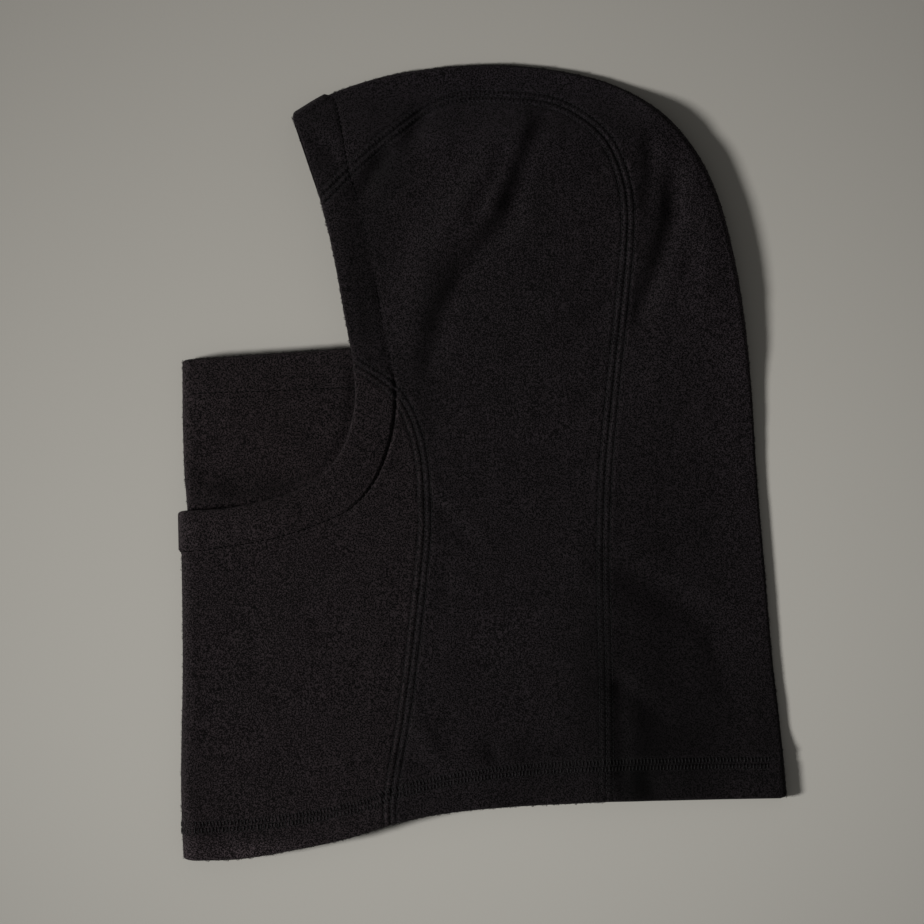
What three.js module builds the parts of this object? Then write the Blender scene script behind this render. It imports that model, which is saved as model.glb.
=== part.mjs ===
// A fleece balaclava that lies flat on its right side, built as the five panels it is sewn from.
// Millimetres. X runs from the chin to the back of the head, Y from the neck hem to the crown, and Z up from
// the surface it lies on. The origin is on that surface, under the middle of the outline.

import * as THREE from 'three';

// Driving dimensions.
const WALL = 1.8; // one ply of fleece
const PLY_GAP = 0.4; // air between two plies that lie on each other
const SEAM_GAP = 0.35; // joint between two panels that meet edge to edge
const FACE_HEM = 20; // turned hem round the face opening and under the chin
const NECK_HEM = 17.5; // turned hem at the neck
const MASK_HEM = 17; // turned hem on the mask's top edge
const HEM_STEP = 2; // length over which a hem's second ply thins out
const FACE_HEM_RISE = 1.4; // how far the face hem stands proud of its panel
const MASK_HEM_RISE = 1.6; // the same on the mask
const BODY_HEIGHT = 13; // height of the folded body
const NAPE_HEIGHT = 5.2; // height along the back fold, where the two plies nearly touch
const NAPE_RISE = { y: 85, reach: 50, rise: 2.6 }; // how the back fold fills out behind the head
const NAPE_HEM = { from: -128, to: -146, rise: 3 }; // Y where it thickens for the neck hem
const NAPE_FADE = [30, 140]; // X where the body starts to thin out, and where it has
// The air left in the hood, which thins out over a longer stretch towards the face.
const HOOD_PUFF = { x: 10, y: 120, reachFront: 110, reachBack: 95, reachY: 75, rise: 9 };
const CROWN_TAPER = { y: [158, 192], x: [56, 100], height: 5.6 }; // the top fold lies nearly flat
const MASK_TOP = 10.4; // height of the mask's upper ply
const FOLD_DEPTH = 0.47; // depth of a rounded fold as a share of its height

// Outlines as seen from above. Both sides of the balaclava lie on the same outline.
const CROWN_SEAM_START = [-79, 128.4]; // where the crown seam leaves the face edge
const PRINCESS_SEAM_START = [-62.9, 49.5]; // where the princess seam does
const PRINCESS_SEAM_END = [-44.6, -176.9];
const BROW_EDGE = [[-93, 169.4], [-87.7, 155.3], CROWN_SEAM_START];
const CHEEK_EDGE = [CROWN_SEAM_START, [-73.5, 106.3], [-66.2, 67.1], PRINCESS_SEAM_START];
const CHIN_EDGE = [
  PRINCESS_SEAM_START,
  [-61.8, 32],
  [-64.2, 18.1],
  [-69.6, 4.4],
  [-80.4, -7.8],
  [-94.1, -14.7],
  [-121.5, -21.6],
  [-141, -23.2],
];
const PRINCESS_SEAM = [
  PRINCESS_SEAM_START,
  [-42.1, 34.3],
  [-31.4, 12],
  [-27.8, -26],
  [-29.6, -53.4],
  [-37.7, -122],
  [-44.6, -164.5],
  PRINCESS_SEAM_END,
];
const SIDE_NECK_EDGE = [
  PRINCESS_SEAM_END,
  [-25.5, -172.5],
  [2, -169],
  [60.8, -165.6],
];
const FRONT_NECK_EDGE = [
  PRINCESS_SEAM_END,
  [-66.6, -183.8],
  [-94.1, -189.6],
  [-118.6, -193.6],
  [-140, -194.2],
];
const FRONT_FOLD = [
  [-147.4, -23.2],
  [-147, -45],
  [-146.4, -100],
  [-147.2, -158],
  [-146, -194.2],
];
const MASK_TOP_EDGE = [
  [-142, 50.8],
  [-105, 53.4],
  [-64.7, 56],
  [-50, 56.4],
];
const MASK_SIDE = [
  [-50, 56.4],
  [-38, 22],
  [-35, -26],
  [-41, -84],
];
const MASK_BOTTOM = [
  [-41, -84],
  [-142, -84],
];
const MASK_FOLD = [
  [-146.6, 50.8],
  [-146.4, 18],
  [-145.6, -4],
  [-144.2, -23],
  [-144, -50],
  [-144, -84],
];

// The crown strip's seam and its outer fold, as pairs of stations from the brow to the neck.
const CROWN_STATIONS = [
  { seam: CROWN_SEAM_START, fold: BROW_EDGE[0] },
  { seam: [-62.5, 145], fold: [-74.5, 180.4] },
  { seam: [-43.1, 161.7], fold: [-49, 189] },
  { seam: [-25.5, 174.6], fold: [-24, 193.2] },
  { seam: [-9.3, 179.2], fold: [-5, 194.7] },
  { seam: [8.8, 179.3], fold: [14, 194.7] },
  { seam: [33.8, 176.4], fold: [42, 191.2] },
  { seam: [48.5, 169.1], fold: [66, 184.4] },
  { seam: [60.8, 157.3], fold: [88, 171.5] },
  { seam: [68.1, 141.6], fold: [104, 153.5] },
  { seam: [71.1, 125], fold: [114.5, 133] },
  { seam: [70.6, 102.9], fold: [122, 107] },
  { seam: [68.1, 75.5], fold: [127.7, 76] },
  { seam: [64.7, 42.6], fold: [131.6, 40] },
  { seam: [60.3, -6.9], fold: [134.7, -8.3] },
  { seam: [59.3, -51], fold: [138.3, -50] },
  { seam: [60.3, -94.6], fold: [142, -94] },
  { seam: [60.8, -135.7], fold: [146.6, -135] },
  { seam: [60.8, -165.6], fold: [149.3, -164] },
];
const CROWN_CORNER = 8; // the station where the side panel's top edge ends and its back edge begins

// Soft folds in the upper side: a chain of points, the width it fades over and its rise (negative in a dent).
const SOFT_FOLDS = [
  { path: [[23, 170], [-20, 104], [-33, 72]], width: 12, rise: 2.2 },
  { path: [[33, 172], [2, 111], [-22, 94], [-32, 46]], width: 7, rise: -1.2 },
  { path: [[-31, 170], [-36, 158]], width: 6, rise: -1.6 },
  { path: [[-53, 147], [-61, 136]], width: 6, rise: -1.6 },
  { path: [[79, 155], [76, 130]], width: 6, rise: -1.8 },
  { path: [[88, 144], [88, 117], [81, 92], [73, 75]], width: 7, rise: -1.8 },
  { path: [[96, 150], [101, 110], [98, 60]], width: 16, rise: 2.6 },
  { path: [[65, -50], [112, -78], [128, -108]], width: 10, rise: -1.4 },
  { path: [[65, -105], [84, -122]], width: 8, rise: -1.2 },
  { path: [[-18, -6], [50, -6]], width: 6, rise: -0.6 },
  { path: [[-18, -64], [50, -64]], width: 6, rise: -0.6 },
];

// Mesh density.
const FACE_ROWS = 8; // rows along the face edge between the crown seam and the princess seam
const PRINCESS_ROWS = 20;
const SIDE_COLUMNS = 14;
const CROWN_COLUMNS = 4;
const FRONT_COLUMNS = 7;
const MASK_COLUMNS = 6;
const MASK_ROWS = 11;
const FOLD_STEPS = 8;

const { smoothstep, lerp } = THREE.MathUtils;

// Curves and stations along them.

function planCurve(points) {
  const corners = points.map(([x, y]) => new THREE.Vector3(x, y, 0));
  return new THREE.CatmullRomCurve3(corners, false, 'centripetal');
}

// Distances along a length: close pairs at the inner edge of a hem at either end, even steps between them.
function hemStations(length, count, startHem, endHem) {
  const start = startHem ? [0, startHem / 2, startHem - HEM_STEP / 2] : [];
  const end = endHem ? [length - endHem + HEM_STEP / 2, length] : [];
  const from = startHem ? startHem + HEM_STEP / 2 : 0;
  const to = endHem ? length - endHem - HEM_STEP / 2 : length;
  const steps = count - start.length - end.length;
  const middle = Array.from({ length: steps + 1 }, (_, i) => lerp(from, to, i / steps));
  return [...start, ...middle, ...end];
}

function pointsAlong(curve, distances) {
  const length = curve.getLength();
  return distances.map((distance) => curve.getPointAt(Math.min(1, distance / length)));
}

function evenPoints(curve, count) {
  return curve.getSpacedPoints(count);
}

// Signed distance from a chain of points: positive on its right-hand side, inside the cloth.
function signedDistance(chain, x, y) {
  let best = Infinity;
  let side = 1;
  for (let i = 0; i + 1 < chain.length; i += 1) {
    const a = chain[i];
    const b = chain[i + 1];
    const abx = b.x - a.x;
    const aby = b.y - a.y;
    const along = ((x - a.x) * abx + (y - a.y) * aby) / (abx * abx + aby * aby);
    const t = THREE.MathUtils.clamp(along, 0, 1);
    const dx = x - a.x - t * abx;
    const dy = y - a.y - t * aby;
    const distance = Math.hypot(dx, dy);
    if (distance < best - 1e-6) {
      best = distance;
      side = abx * dy - aby * dx > 0 ? 1 : -1;
    }
  }
  return best * side;
}

const faceCurve = planCurve([...BROW_EDGE, ...CHEEK_EDGE.slice(1)]);
const cheekCurve = planCurve(CHEEK_EDGE);
const chinCurve = planCurve(CHIN_EDGE);
const princessCurve = planCurve(PRINCESS_SEAM);
const sideNeckCurve = planCurve(SIDE_NECK_EDGE);
const frontNeckCurve = planCurve(FRONT_NECK_EDGE);
const frontFoldCurve = planCurve(FRONT_FOLD);
const crownSeamCurve = planCurve(CROWN_STATIONS.map((station) => station.seam));
const crownFoldCurve = planCurve(CROWN_STATIONS.map((station) => station.fold));
const maskFoldCurve = planCurve(MASK_FOLD);
const maskTopCurve = planCurve(MASK_TOP_EDGE);

const chinEnd = new THREE.Vector3(FRONT_FOLD[0][0] - FACE_HEM, FRONT_FOLD[0][1], 0);
const openingEdge = [...evenPoints(faceCurve, 24), ...evenPoints(chinCurve, 24).slice(1), chinEnd];
const neckEnd = new THREE.Vector3(FRONT_FOLD.at(-1)[0] - NECK_HEM, FRONT_FOLD.at(-1)[1], 0);
const crownNeck = CROWN_STATIONS.at(-1);
const neckEdge = [
  neckEnd,
  ...evenPoints(frontNeckCurve, 12).reverse(),
  ...evenPoints(sideNeckCurve, 12).slice(1),
  new THREE.Vector3(crownNeck.fold[0], crownNeck.fold[1], 0),
];
const maskTopEnd = new THREE.Vector3(MASK_FOLD[0][0] - MASK_HEM, MASK_FOLD[0][1], 0);
const maskTopEdge = [maskTopEnd, ...evenPoints(maskTopCurve, 12)];

// Shares from 0 to 1 of a hem's second ply at a place.

function hemShare(chain, width, x, y) {
  const distance = Math.abs(signedDistance(chain, x, y));
  return 1 - smoothstep(distance, width - HEM_STEP / 2, width + HEM_STEP / 2);
}

function faceHemAt(x, y) {
  return hemShare(openingEdge, FACE_HEM, x, y);
}

function wallAt(x, y) {
  const neckHem = hemShare(neckEdge, NECK_HEM, x, y);
  return WALL * (1 + Math.max(faceHemAt(x, y), neckHem));
}

// Height of the upper side's outer face.
function upperHeight(x, y) {
  const fromFullest = (y - NAPE_RISE.y) / NAPE_RISE.reach;
  const hoodward = NAPE_RISE.rise * Math.exp(-fromFullest * fromFullest);
  const hemward = NAPE_HEM.rise * (1 - smoothstep(y, NAPE_HEM.to, NAPE_HEM.from));
  const nape = smoothstep(x, NAPE_FADE[0], NAPE_FADE[1]);
  const body = lerp(BODY_HEIGHT, NAPE_HEIGHT + hoodward + hemward, nape);
  const awayX = (x - HOOD_PUFF.x) / (x > HOOD_PUFF.x ? HOOD_PUFF.reachBack : HOOD_PUFF.reachFront);
  const awayY = (y - HOOD_PUFF.y) / HOOD_PUFF.reachY;
  const puff = HOOD_PUFF.rise * Math.exp(-awayX * awayX - awayY * awayY);
  const folds = SOFT_FOLDS.map(({ path, width, rise }) => {
    const chain = path.map(([px, py]) => new THREE.Vector3(px, py, 0));
    const away = signedDistance(chain, x, y) / width;
    return rise * Math.exp(-away * away);
  });
  const full = body + puff + folds.reduce((sum, fold) => sum + fold, 0);
  const crownward = smoothstep(y, CROWN_TAPER.y[0], CROWN_TAPER.y[1]);
  const inFront = 1 - smoothstep(x, CROWN_TAPER.x[0], CROWN_TAPER.x[1]);
  return lerp(full, CROWN_TAPER.height, crownward * inFront);
}

// A place in a panel: the outer and inner points of its wall.

function upperPlace(point) {
  const top = upperHeight(point.x, point.y) + FACE_HEM_RISE * faceHemAt(point.x, point.y);
  return wallPlace(point, top, -wallAt(point.x, point.y));
}

function lowerPlace(point) {
  return wallPlace(point, 0, wallAt(point.x, point.y));
}

function wallPlace(point, outerZ, inward) {
  return {
    outer: new THREE.Vector3(point.x, point.y, outerZ),
    inner: new THREE.Vector3(point.x, point.y, outerZ + inward),
    wall: Math.abs(inward),
  };
}

// The rounded edge that joins an upper place to the lower place under it, bulging along a direction.
function foldPlaces(upper, lower, direction, depth) {
  const middle = (upper.outer.z + lower.outer.z) / 2;
  const half = (upper.outer.z - lower.outer.z) / 2;
  const places = [];
  for (let step = 1; step < FOLD_STEPS; step += 1) {
    const angle = (Math.PI * step) / FOLD_STEPS;
    const along = Math.sin(angle);
    const up = Math.cos(angle);
    const outer = upper.outer.clone().addScaledVector(direction, depth * along);
    const inner = upper.outer.clone().addScaledVector(direction, (depth - upper.wall) * along);
    outer.z = middle + half * up;
    inner.z = middle + (half - upper.wall) * up;
    places.push({ outer, inner });
  }
  return places;
}

// Points of a four-sided patch, row by row, blended from its sampled sides.
function patchRows({ top, bottom, left, right }) {
  const rows = left.length - 1;
  const columns = top.length - 1;
  const blend = (a, b, t) => a.clone().lerp(b, t);
  return left.map((start, row) => {
    const v = row / rows;
    return top.map((above, column) => {
      const u = column / columns;
      const ruled = blend(above, bottom[column], v).add(blend(start, right[row], u));
      const corners = blend(blend(top[0], top[columns], u), blend(bottom[0], bottom[columns], u), v);
      return ruled.sub(corners);
    });
  });
}

// A closed body from rows of places: outer face, inner face, and the four edges between them.
function sheetGeometry(rows) {
  const columns = rows[0].length;
  const outer = rows.flatMap((row) => row.map((place) => place.outer));
  const inner = rows.flatMap((row) => row.map((place) => place.inner));
  const points = [...outer, ...inner];
  const faces = [];
  const quad = (a, b, c, d) => faces.push(a, b, c, a, c, d);
  const far = outer.length;
  for (let row = 0; row + 1 < rows.length; row += 1) {
    for (let column = 0; column + 1 < columns; column += 1) {
      const a = row * columns + column;
      const b = a + 1;
      const c = b + columns;
      const d = a + columns;
      quad(a, d, c, b);
      quad(far + a, far + b, far + c, far + d);
    }
  }
  const last = (rows.length - 1) * columns;
  for (let column = 0; column + 1 < columns; column += 1) {
    quad(column, column + 1, far + column + 1, far + column);
    quad(last + column, far + last + column, far + last + column + 1, last + column + 1);
  }
  for (let row = 0; row + 1 < rows.length; row += 1) {
    const start = row * columns;
    const end = start + columns - 1;
    quad(start, far + start, far + start + columns, start + columns);
    quad(end, end + columns, far + end + columns, far + end);
  }
  const geometry = new THREE.BufferGeometry().setFromPoints(points);
  geometry.setIndex(signedVolume(points, faces) > 0 ? faces : faces.reverse());
  geometry.computeVertexNormals();
  return geometry;
}

function signedVolume(points, faces) {
  let volume = 0;
  for (let i = 0; i < faces.length; i += 3) {
    const [a, b, c] = [points[faces[i]], points[faces[i + 1]], points[faces[i + 2]]];
    volume += a.dot(b.clone().cross(c)) / 6;
  }
  return volume;
}

function panel(name, rows, colour) {
  const material = new THREE.MeshStandardMaterial({ color: colour, roughness: 0.95, metalness: 0 });
  const mesh = new THREE.Mesh(sheetGeometry(rows), material);
  mesh.name = name;
  return mesh;
}

// Stations that neighbours share, so that their edges follow each other exactly.

const cornerStation = CROWN_CORNER / (CROWN_STATIONS.length - 1);
const seamPoints = crownStationList();
const princessHem = FACE_HEM * 1.3; // the hem crosses the princess seam at a slant
const princessPoints = pointsAlong(
  princessCurve,
  hemStations(princessCurve.getLength(), PRINCESS_ROWS, princessHem, NECK_HEM),
);

// Spline parameters of the crown stations: even to the corner, then even down to the neck hem.
function crownStationList() {
  const length = crownSeamCurve.getLength();
  const divisions = 400;
  const lengths = crownSeamCurve.getLengths(divisions);
  const cornerDistance = lengths[Math.round(cornerStation * divisions)];
  const over = hemStations(cornerDistance, SIDE_COLUMNS, FACE_HEM * 1.2, 0);
  const down = hemStations(length - cornerDistance, FACE_ROWS + PRINCESS_ROWS, 0, NECK_HEM);
  const distances = [...over, ...down.slice(1).map((distance) => distance + cornerDistance)];
  return distances.map((distance) => {
    const t = crownSeamCurve.getUtoTmapping(Math.min(1, distance / length));
    return { seam: crownSeamCurve.getPoint(t), fold: crownFoldCurve.getPoint(t) };
  });
}

// Panels.

function sidePatch() {
  const seam = seamPoints.map((station) => station.seam);
  const left = [...evenPoints(cheekCurve, FACE_ROWS), ...princessPoints.slice(1)];
  return patchRows({
    top: seam.slice(0, SIDE_COLUMNS + 1),
    right: seam.slice(SIDE_COLUMNS),
    left,
    bottom: evenPoints(sideNeckCurve, SIDE_COLUMNS),
  });
}

function crownRows() {
  return seamPoints.map(({ seam, fold }) => {
    const direction = fold.clone().sub(seam).normalize();
    const rise = FACE_HEM_RISE * faceHemAt(fold.x, fold.y);
    const depth = FOLD_DEPTH * upperHeight(fold.x, fold.y);
    const from = seam.clone().addScaledVector(direction, SEAM_GAP);
    const to = fold.clone().addScaledVector(direction, -depth);
    const share = (column) => column / CROWN_COLUMNS;
    const across = Array.from({ length: CROWN_COLUMNS + 1 }, (_, i) => from.clone().lerp(to, share(i)));
    return foldedRow(across, direction, depth + rise, upperPlace, lowerPlace);
  });
}

// One row of a folded panel: out along its upper ply, round the fold and back along its lower ply.
function foldedRow(across, direction, depth, placeAbove, placeBelow) {
  const above = across.map(placeAbove);
  const below = across.map(placeBelow).reverse();
  return [...above, ...foldPlaces(above.at(-1), below[0], direction, depth), ...below];
}

const TO_CHIN = new THREE.Vector3(-1, 0, 0);

function frontRows() {
  const depth = FOLD_DEPTH * BODY_HEIGHT;
  const foldLength = frontFoldCurve.getLength();
  const outerFold = pointsAlong(frontFoldCurve, hemStations(foldLength, PRINCESS_ROWS, FACE_HEM, NECK_HEM));
  const left = outerFold.map((point) => point.clone().addScaledVector(TO_CHIN, -depth));
  const top = evenPoints(chinCurve, FRONT_COLUMNS);
  const bottom = evenPoints(frontNeckCurve, FRONT_COLUMNS);
  const right = princessPoints;
  top[FRONT_COLUMNS].copy(left[0]);
  bottom[FRONT_COLUMNS].copy(left.at(-1));
  const patch = patchRows({ top, bottom, left: right, right: left });
  return patch.map((across, row) => {
    const before = right[Math.max(0, row - 1)];
    const after = right[Math.min(right.length - 1, row + 1)];
    const along = after.clone().sub(before).normalize();
    across[0].addScaledVector(new THREE.Vector3(along.y, -along.x, 0), SEAM_GAP);
    const end = across.at(-1);
    const rise = FACE_HEM_RISE * faceHemAt(end.x, end.y);
    return foldedRow(across, TO_CHIN, depth + rise, upperPlace, lowerPlace);
  });
}

// The mask lies between the front panel's two plies and leaves them above the chin edge.

const OVER_HEM = 2 * WALL + PLY_GAP; // clears the chin hem below it
const OVER_PANEL = WALL + PLY_GAP; // clears the single ply below it

function maskUnderside(x, y) {
  const inside = signedDistance(openingEdge, x, y);
  const climb = smoothstep(inside, -34, -14);
  const settle = smoothstep(inside, FACE_HEM + 8, FACE_HEM + 26);
  return climb * lerp(OVER_HEM, OVER_PANEL, settle);
}

function maskWall(x, y) {
  return WALL * (1 + hemShare(maskTopEdge, MASK_HEM, x, y));
}

function maskAbove(point) {
  const hem = hemShare(maskTopEdge, MASK_HEM, point.x, point.y);
  return wallPlace(point, MASK_TOP + MASK_HEM_RISE * hem, -maskWall(point.x, point.y));
}

function maskBelow(point) {
  return wallPlace(point, maskUnderside(point.x, point.y), maskWall(point.x, point.y));
}

function maskRows() {
  const foldLength = maskFoldCurve.getLength();
  const outerFold = pointsAlong(maskFoldCurve, hemStations(foldLength, MASK_ROWS, MASK_HEM, 0));
  const sideCurve = planCurve(MASK_SIDE);
  const right = pointsAlong(sideCurve, hemStations(sideCurve.getLength(), MASK_ROWS, MASK_HEM, 0));
  const depthAt = (point) => FOLD_DEPTH * (MASK_TOP - maskUnderside(point.x, point.y));
  const left = outerFold.map((point) => point.clone().addScaledVector(TO_CHIN, -depthAt(point)));
  const top = evenPoints(maskTopCurve, MASK_COLUMNS).reverse();
  const bottom = evenPoints(planCurve(MASK_BOTTOM), MASK_COLUMNS);
  top[MASK_COLUMNS].copy(left[0]);
  bottom[MASK_COLUMNS].copy(left.at(-1));
  const patch = patchRows({ top, bottom, left: right, right: left });
  return patch.map((across, row) => {
    const depth = depthAt(outerFold[row]);
    return foldedRow(across, TO_CHIN, depth, maskAbove, maskBelow);
  });
}

const side = sidePatch();
const balaclava = new THREE.Group();
balaclava.add(
  panel('crown_strip', crownRows(), 0x1b191c),
  panel('side_panel_left', side.map((row) => row.map(upperPlace)), 0x1c1a1b),
  panel('side_panel_right', side.map((row) => row.map(lowerPlace)), 0x1c1a1b),
  panel('front_panel', frontRows(), 0x211e1f),
  panel('mask_panel', maskRows(), 0x211e1f),
);

export default balaclava;
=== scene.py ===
"""A fleece balaclava that lies flat on its side on a pale studio floor.

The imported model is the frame. Each panel of cloth is built here from the same pattern lines as its solid,
finer and with its folds, seams and hems, and takes that solid's place. Pattern lines are in millimetres,
seen from above: X runs from the chin to the back of the head, Y from the neck hem to the crown.
"""

import logging
import math
from collections.abc import Callable
from dataclasses import dataclass, field
from enum import Enum

import bpy
import numpy as np
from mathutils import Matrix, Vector


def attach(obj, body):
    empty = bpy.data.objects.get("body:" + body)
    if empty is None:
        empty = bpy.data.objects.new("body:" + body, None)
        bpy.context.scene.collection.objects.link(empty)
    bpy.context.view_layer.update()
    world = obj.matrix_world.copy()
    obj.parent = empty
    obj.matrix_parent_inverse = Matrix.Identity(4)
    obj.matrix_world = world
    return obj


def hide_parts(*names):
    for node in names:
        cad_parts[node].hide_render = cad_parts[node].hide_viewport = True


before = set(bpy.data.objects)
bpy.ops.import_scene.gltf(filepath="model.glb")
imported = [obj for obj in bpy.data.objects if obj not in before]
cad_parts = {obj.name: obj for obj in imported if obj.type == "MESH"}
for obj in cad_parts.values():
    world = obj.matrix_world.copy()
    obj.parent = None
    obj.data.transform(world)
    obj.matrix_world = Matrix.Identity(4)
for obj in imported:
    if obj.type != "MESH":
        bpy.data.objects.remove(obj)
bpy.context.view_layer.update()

MM = 0.001
BODY = "root"
CLOTH_SEED = 11
STITCH_SEED = 5
FIBRE_SEED = 17

Array = np.ndarray
Place = tuple[float, float]
Path = tuple[Place, ...]
Span = tuple[float, float]
Colour = tuple[float, float, float]
Surface = Callable[[Array], Array]
Socket = bpy.types.NodeSocket
Sockets = bpy.types.bpy_prop_collection
Feed = Socket | float | tuple[float, ...]

log = logging.getLogger("balaclava")


class Ply(Enum):
    """Which side of the folded balaclava something lies on."""

    UPPER = "upper"
    LOWER = "lower"


class Lay(Enum):
    """How a stretch of stitching follows the cloth."""

    OVER = 1
    ROUND = 0
    UNDER = -1


# Measuring and shaping


def ease(value: Array, low: float, high: float) -> Array:
    """Eases from 0 at low to 1 at high."""
    share = np.clip((value - low) / (high - low), 0.0, 1.0)
    return share * share * (3.0 - 2.0 * share)


def within(value: Array, rise: Span, fall: Span) -> Array:
    """1 inside a stretch and 0 outside it, easing over one span at its start and one at its end."""
    return ease(value, *rise) * (1.0 - ease(value, *fall))


def bell(value: Array, width: float | Array) -> Array:
    """A soft hump, 1 at nought, that fades over a width."""
    return np.exp(-((value / width) ** 2))


def blend(low: float | Array, high: float | Array, share: Array) -> Array:
    """A value between two others."""
    return low + (high - low) * share


def unit(vectors: Array) -> Array:
    """The same directions, each with a length of 1."""
    return vectors / np.maximum(np.linalg.norm(vectors, axis=-1, keepdims=True), 1e-9)


def spread(length: float, coarse: float, zones: list[tuple[float, float, float]]) -> Array:
    """Distances along a length, closer together inside some zones.

    Args:
        length: How long the whole stretch is.
        coarse: The step outside the zones.
        zones: A start, an end and a step for each zone.

    Returns:
        Distances from 0 to the length.
    """
    margin = 1.5
    fine = np.linspace(0.0, length, 4000)
    density = np.full(fine.shape, 1.0 / coarse)
    for start, end, step in zones:
        inside = within(fine, (start - margin, start), (end, end + margin))
        density = np.maximum(density, inside / step)
    total = np.concatenate([[0.0], np.cumsum((density[1:] + density[:-1]) / 2 * np.diff(fine))])
    count = math.ceil(total[-1])
    return np.interp(np.linspace(0.0, total[-1], count + 1), total, fine)


@dataclass(frozen=True)
class Spline:
    """A smooth line through points of the pattern."""

    points: Path

    def at(self, share: Array) -> Array:
        """Points on the line.

        Args:
            share: How far along the line's points, from 0 to 1.

        Returns:
            One point a row.
        """
        known = np.asarray(self.points, float)
        padded = np.vstack([2 * known[0] - known[1], known, 2 * known[-1] - known[-2]])
        place = np.clip(np.atleast_1d(share), 0.0, 1.0) * (len(known) - 1)
        index = np.minimum(place.astype(int), len(known) - 2)
        part = (place - index)[:, None]
        before, start, end, after = (padded[index + k] for k in range(4))
        first, span, last = (
            np.sqrt(np.linalg.norm(b - a, axis=1))[:, None]
            for a, b in ((before, start), (start, end), (end, after))
        )
        leave = ((start - before) / first - (end - before) / (first + span) + (end - start) / span) * span
        arrive = ((end - start) / span - (after - start) / (span + last) + (after - end) / last) * span
        square = -3 * start + 3 * end - 2 * leave - arrive
        cube = 2 * start - 2 * end + leave + arrive
        return start + part * (leave + part * (square + part * cube))

    def chain(self, per_span: int = 16) -> Array:
        """Close points all along the line."""
        return self.at(np.linspace(0.0, 1.0, (len(self.points) - 1) * per_span + 1))

    def table(self) -> tuple[Array, Array]:
        """Shares along the line and the length up to each.

        Returns:
            The shares and the lengths.
        """
        shares = np.linspace(0.0, 1.0, (len(self.points) - 1) * 60 + 1)
        steps = np.linalg.norm(np.diff(self.at(shares), axis=0), axis=1)
        return shares, np.concatenate([[0.0], np.cumsum(steps)])

    def length(self) -> float:
        """The line's length."""
        return float(self.table()[1][-1])

    def length_to(self, share: float) -> float:
        """The length up to a share of the line's points."""
        return float(np.interp(share, *self.table()))

    def shares(self, distances: Array) -> Array:
        """The shares at some distances along the line."""
        known, lengths = self.table()
        return np.interp(distances, lengths, known)

    def along(self, distances: Array) -> Array:
        """The points at some distances along the line."""
        return self.at(self.shares(distances))

    def shifted(self, distances: Array, aside: float, fade: float = 4.0) -> Array:
        """Points beside the line, on its left, that start on it.

        Args:
            distances: How far along each point is.
            aside: How far to the side they lie.
            fade: The length over which they move aside.

        Returns:
            One point a row.
        """
        ahead, behind = self.along(distances + 0.5), self.along(np.maximum(distances - 0.5, 0.0))
        along = unit(ahead - behind)
        normal = np.stack([-along[:, 1], along[:, 0]], axis=1)
        return self.along(distances) + normal * (aside * ease(distances, 0.0, fade))[:, None]


@dataclass(frozen=True)
class Chain:
    """Straight steps through close points, for measuring how far places are from them."""

    points: Array

    def measure(self, places: Array) -> tuple[Array, Array]:
        """How far places are from the chain.

        Args:
            places: Points of the pattern, one a row.

        Returns:
            The distance, positive on the side of the cloth, and the length along the chain.
        """
        start, step = self.points[:-1], np.diff(self.points, axis=0)
        lengths = np.linalg.norm(step, axis=1)
        before = np.concatenate([[0.0], np.cumsum(lengths)[:-1]])
        distances, along = [], []
        for some in np.array_split(places, max(1, len(places) // 6000)):
            away = some[:, None] - start[None]
            share = np.clip((away * step).sum(2) / lengths**2, 0.0, 1.0)
            away = away - share[..., None] * step
            square = (away**2).sum(2)
            nearest = square.argmin(1)
            row = np.arange(len(some))
            off = away[row, nearest]
            turn = step[nearest, 0] * off[:, 1] - step[nearest, 1] * off[:, 0]
            distances.append(np.sqrt(square[row, nearest]) * np.where(turn > 0, 1.0, -1.0))
            along.append(before[nearest] + share[row, nearest] * lengths[nearest])
        return np.concatenate(distances), np.concatenate(along)


class Ripple:
    """Smooth unevenness from -1 to 1, the same each time."""

    CELLS = 67
    OFFSET = 1000.0  # keeps the lattice's joins away from the cloth

    def __init__(self, seed: int) -> None:
        """Fills the lattice that the unevenness is read from."""
        self.lattice = np.random.default_rng(seed).uniform(-1.0, 1.0, (self.CELLS, self.CELLS))

    def knots(self, i: Array, j: Array) -> Array:
        """The lattice's values at some of its knots."""
        return self.lattice[i % self.CELLS, j % self.CELLS]

    def at(self, x: Array, y: Array, size: float) -> Array:
        """The unevenness at some places.

        Args:
            x: How far along.
            y: How far across.
            size: The distance over which it changes.

        Returns:
            One value a place.
        """
        u, v = x / size + self.OFFSET, y / size + self.OFFSET
        i, j = np.floor(u).astype(int), np.floor(v).astype(int)
        across, up = ease(u - i, 0.0, 1.0), ease(v - j, 0.0, 1.0)
        near = blend(self.knots(i, j), self.knots(i + 1, j), across)
        return blend(near, blend(self.knots(i, j + 1), self.knots(i + 1, j + 1), across), up)


@dataclass(frozen=True)
class Crease:
    """A soft fold in the cloth: where it runs, how wide it fades and how far it rises or dips."""

    path: Path
    width: float
    rise: float

    START = (-0.3, 0.15)  # shares of the path over which a fold comes up
    END = (0.85, 1.3)  # and over which it dies away

    def relief(self, places: Array) -> Array:
        """The fold's height at some places, which fades towards its ends.

        Args:
            places: Points on the cloth, seen from above.

        Returns:
            The height at each.
        """
        points = np.asarray(self.path, float)
        away, along = Chain(points).measure(places)
        share = along / np.linalg.norm(np.diff(points, axis=0), axis=1).sum()
        return self.rise * within(share, self.START, self.END) * bell(away, self.width)


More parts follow.
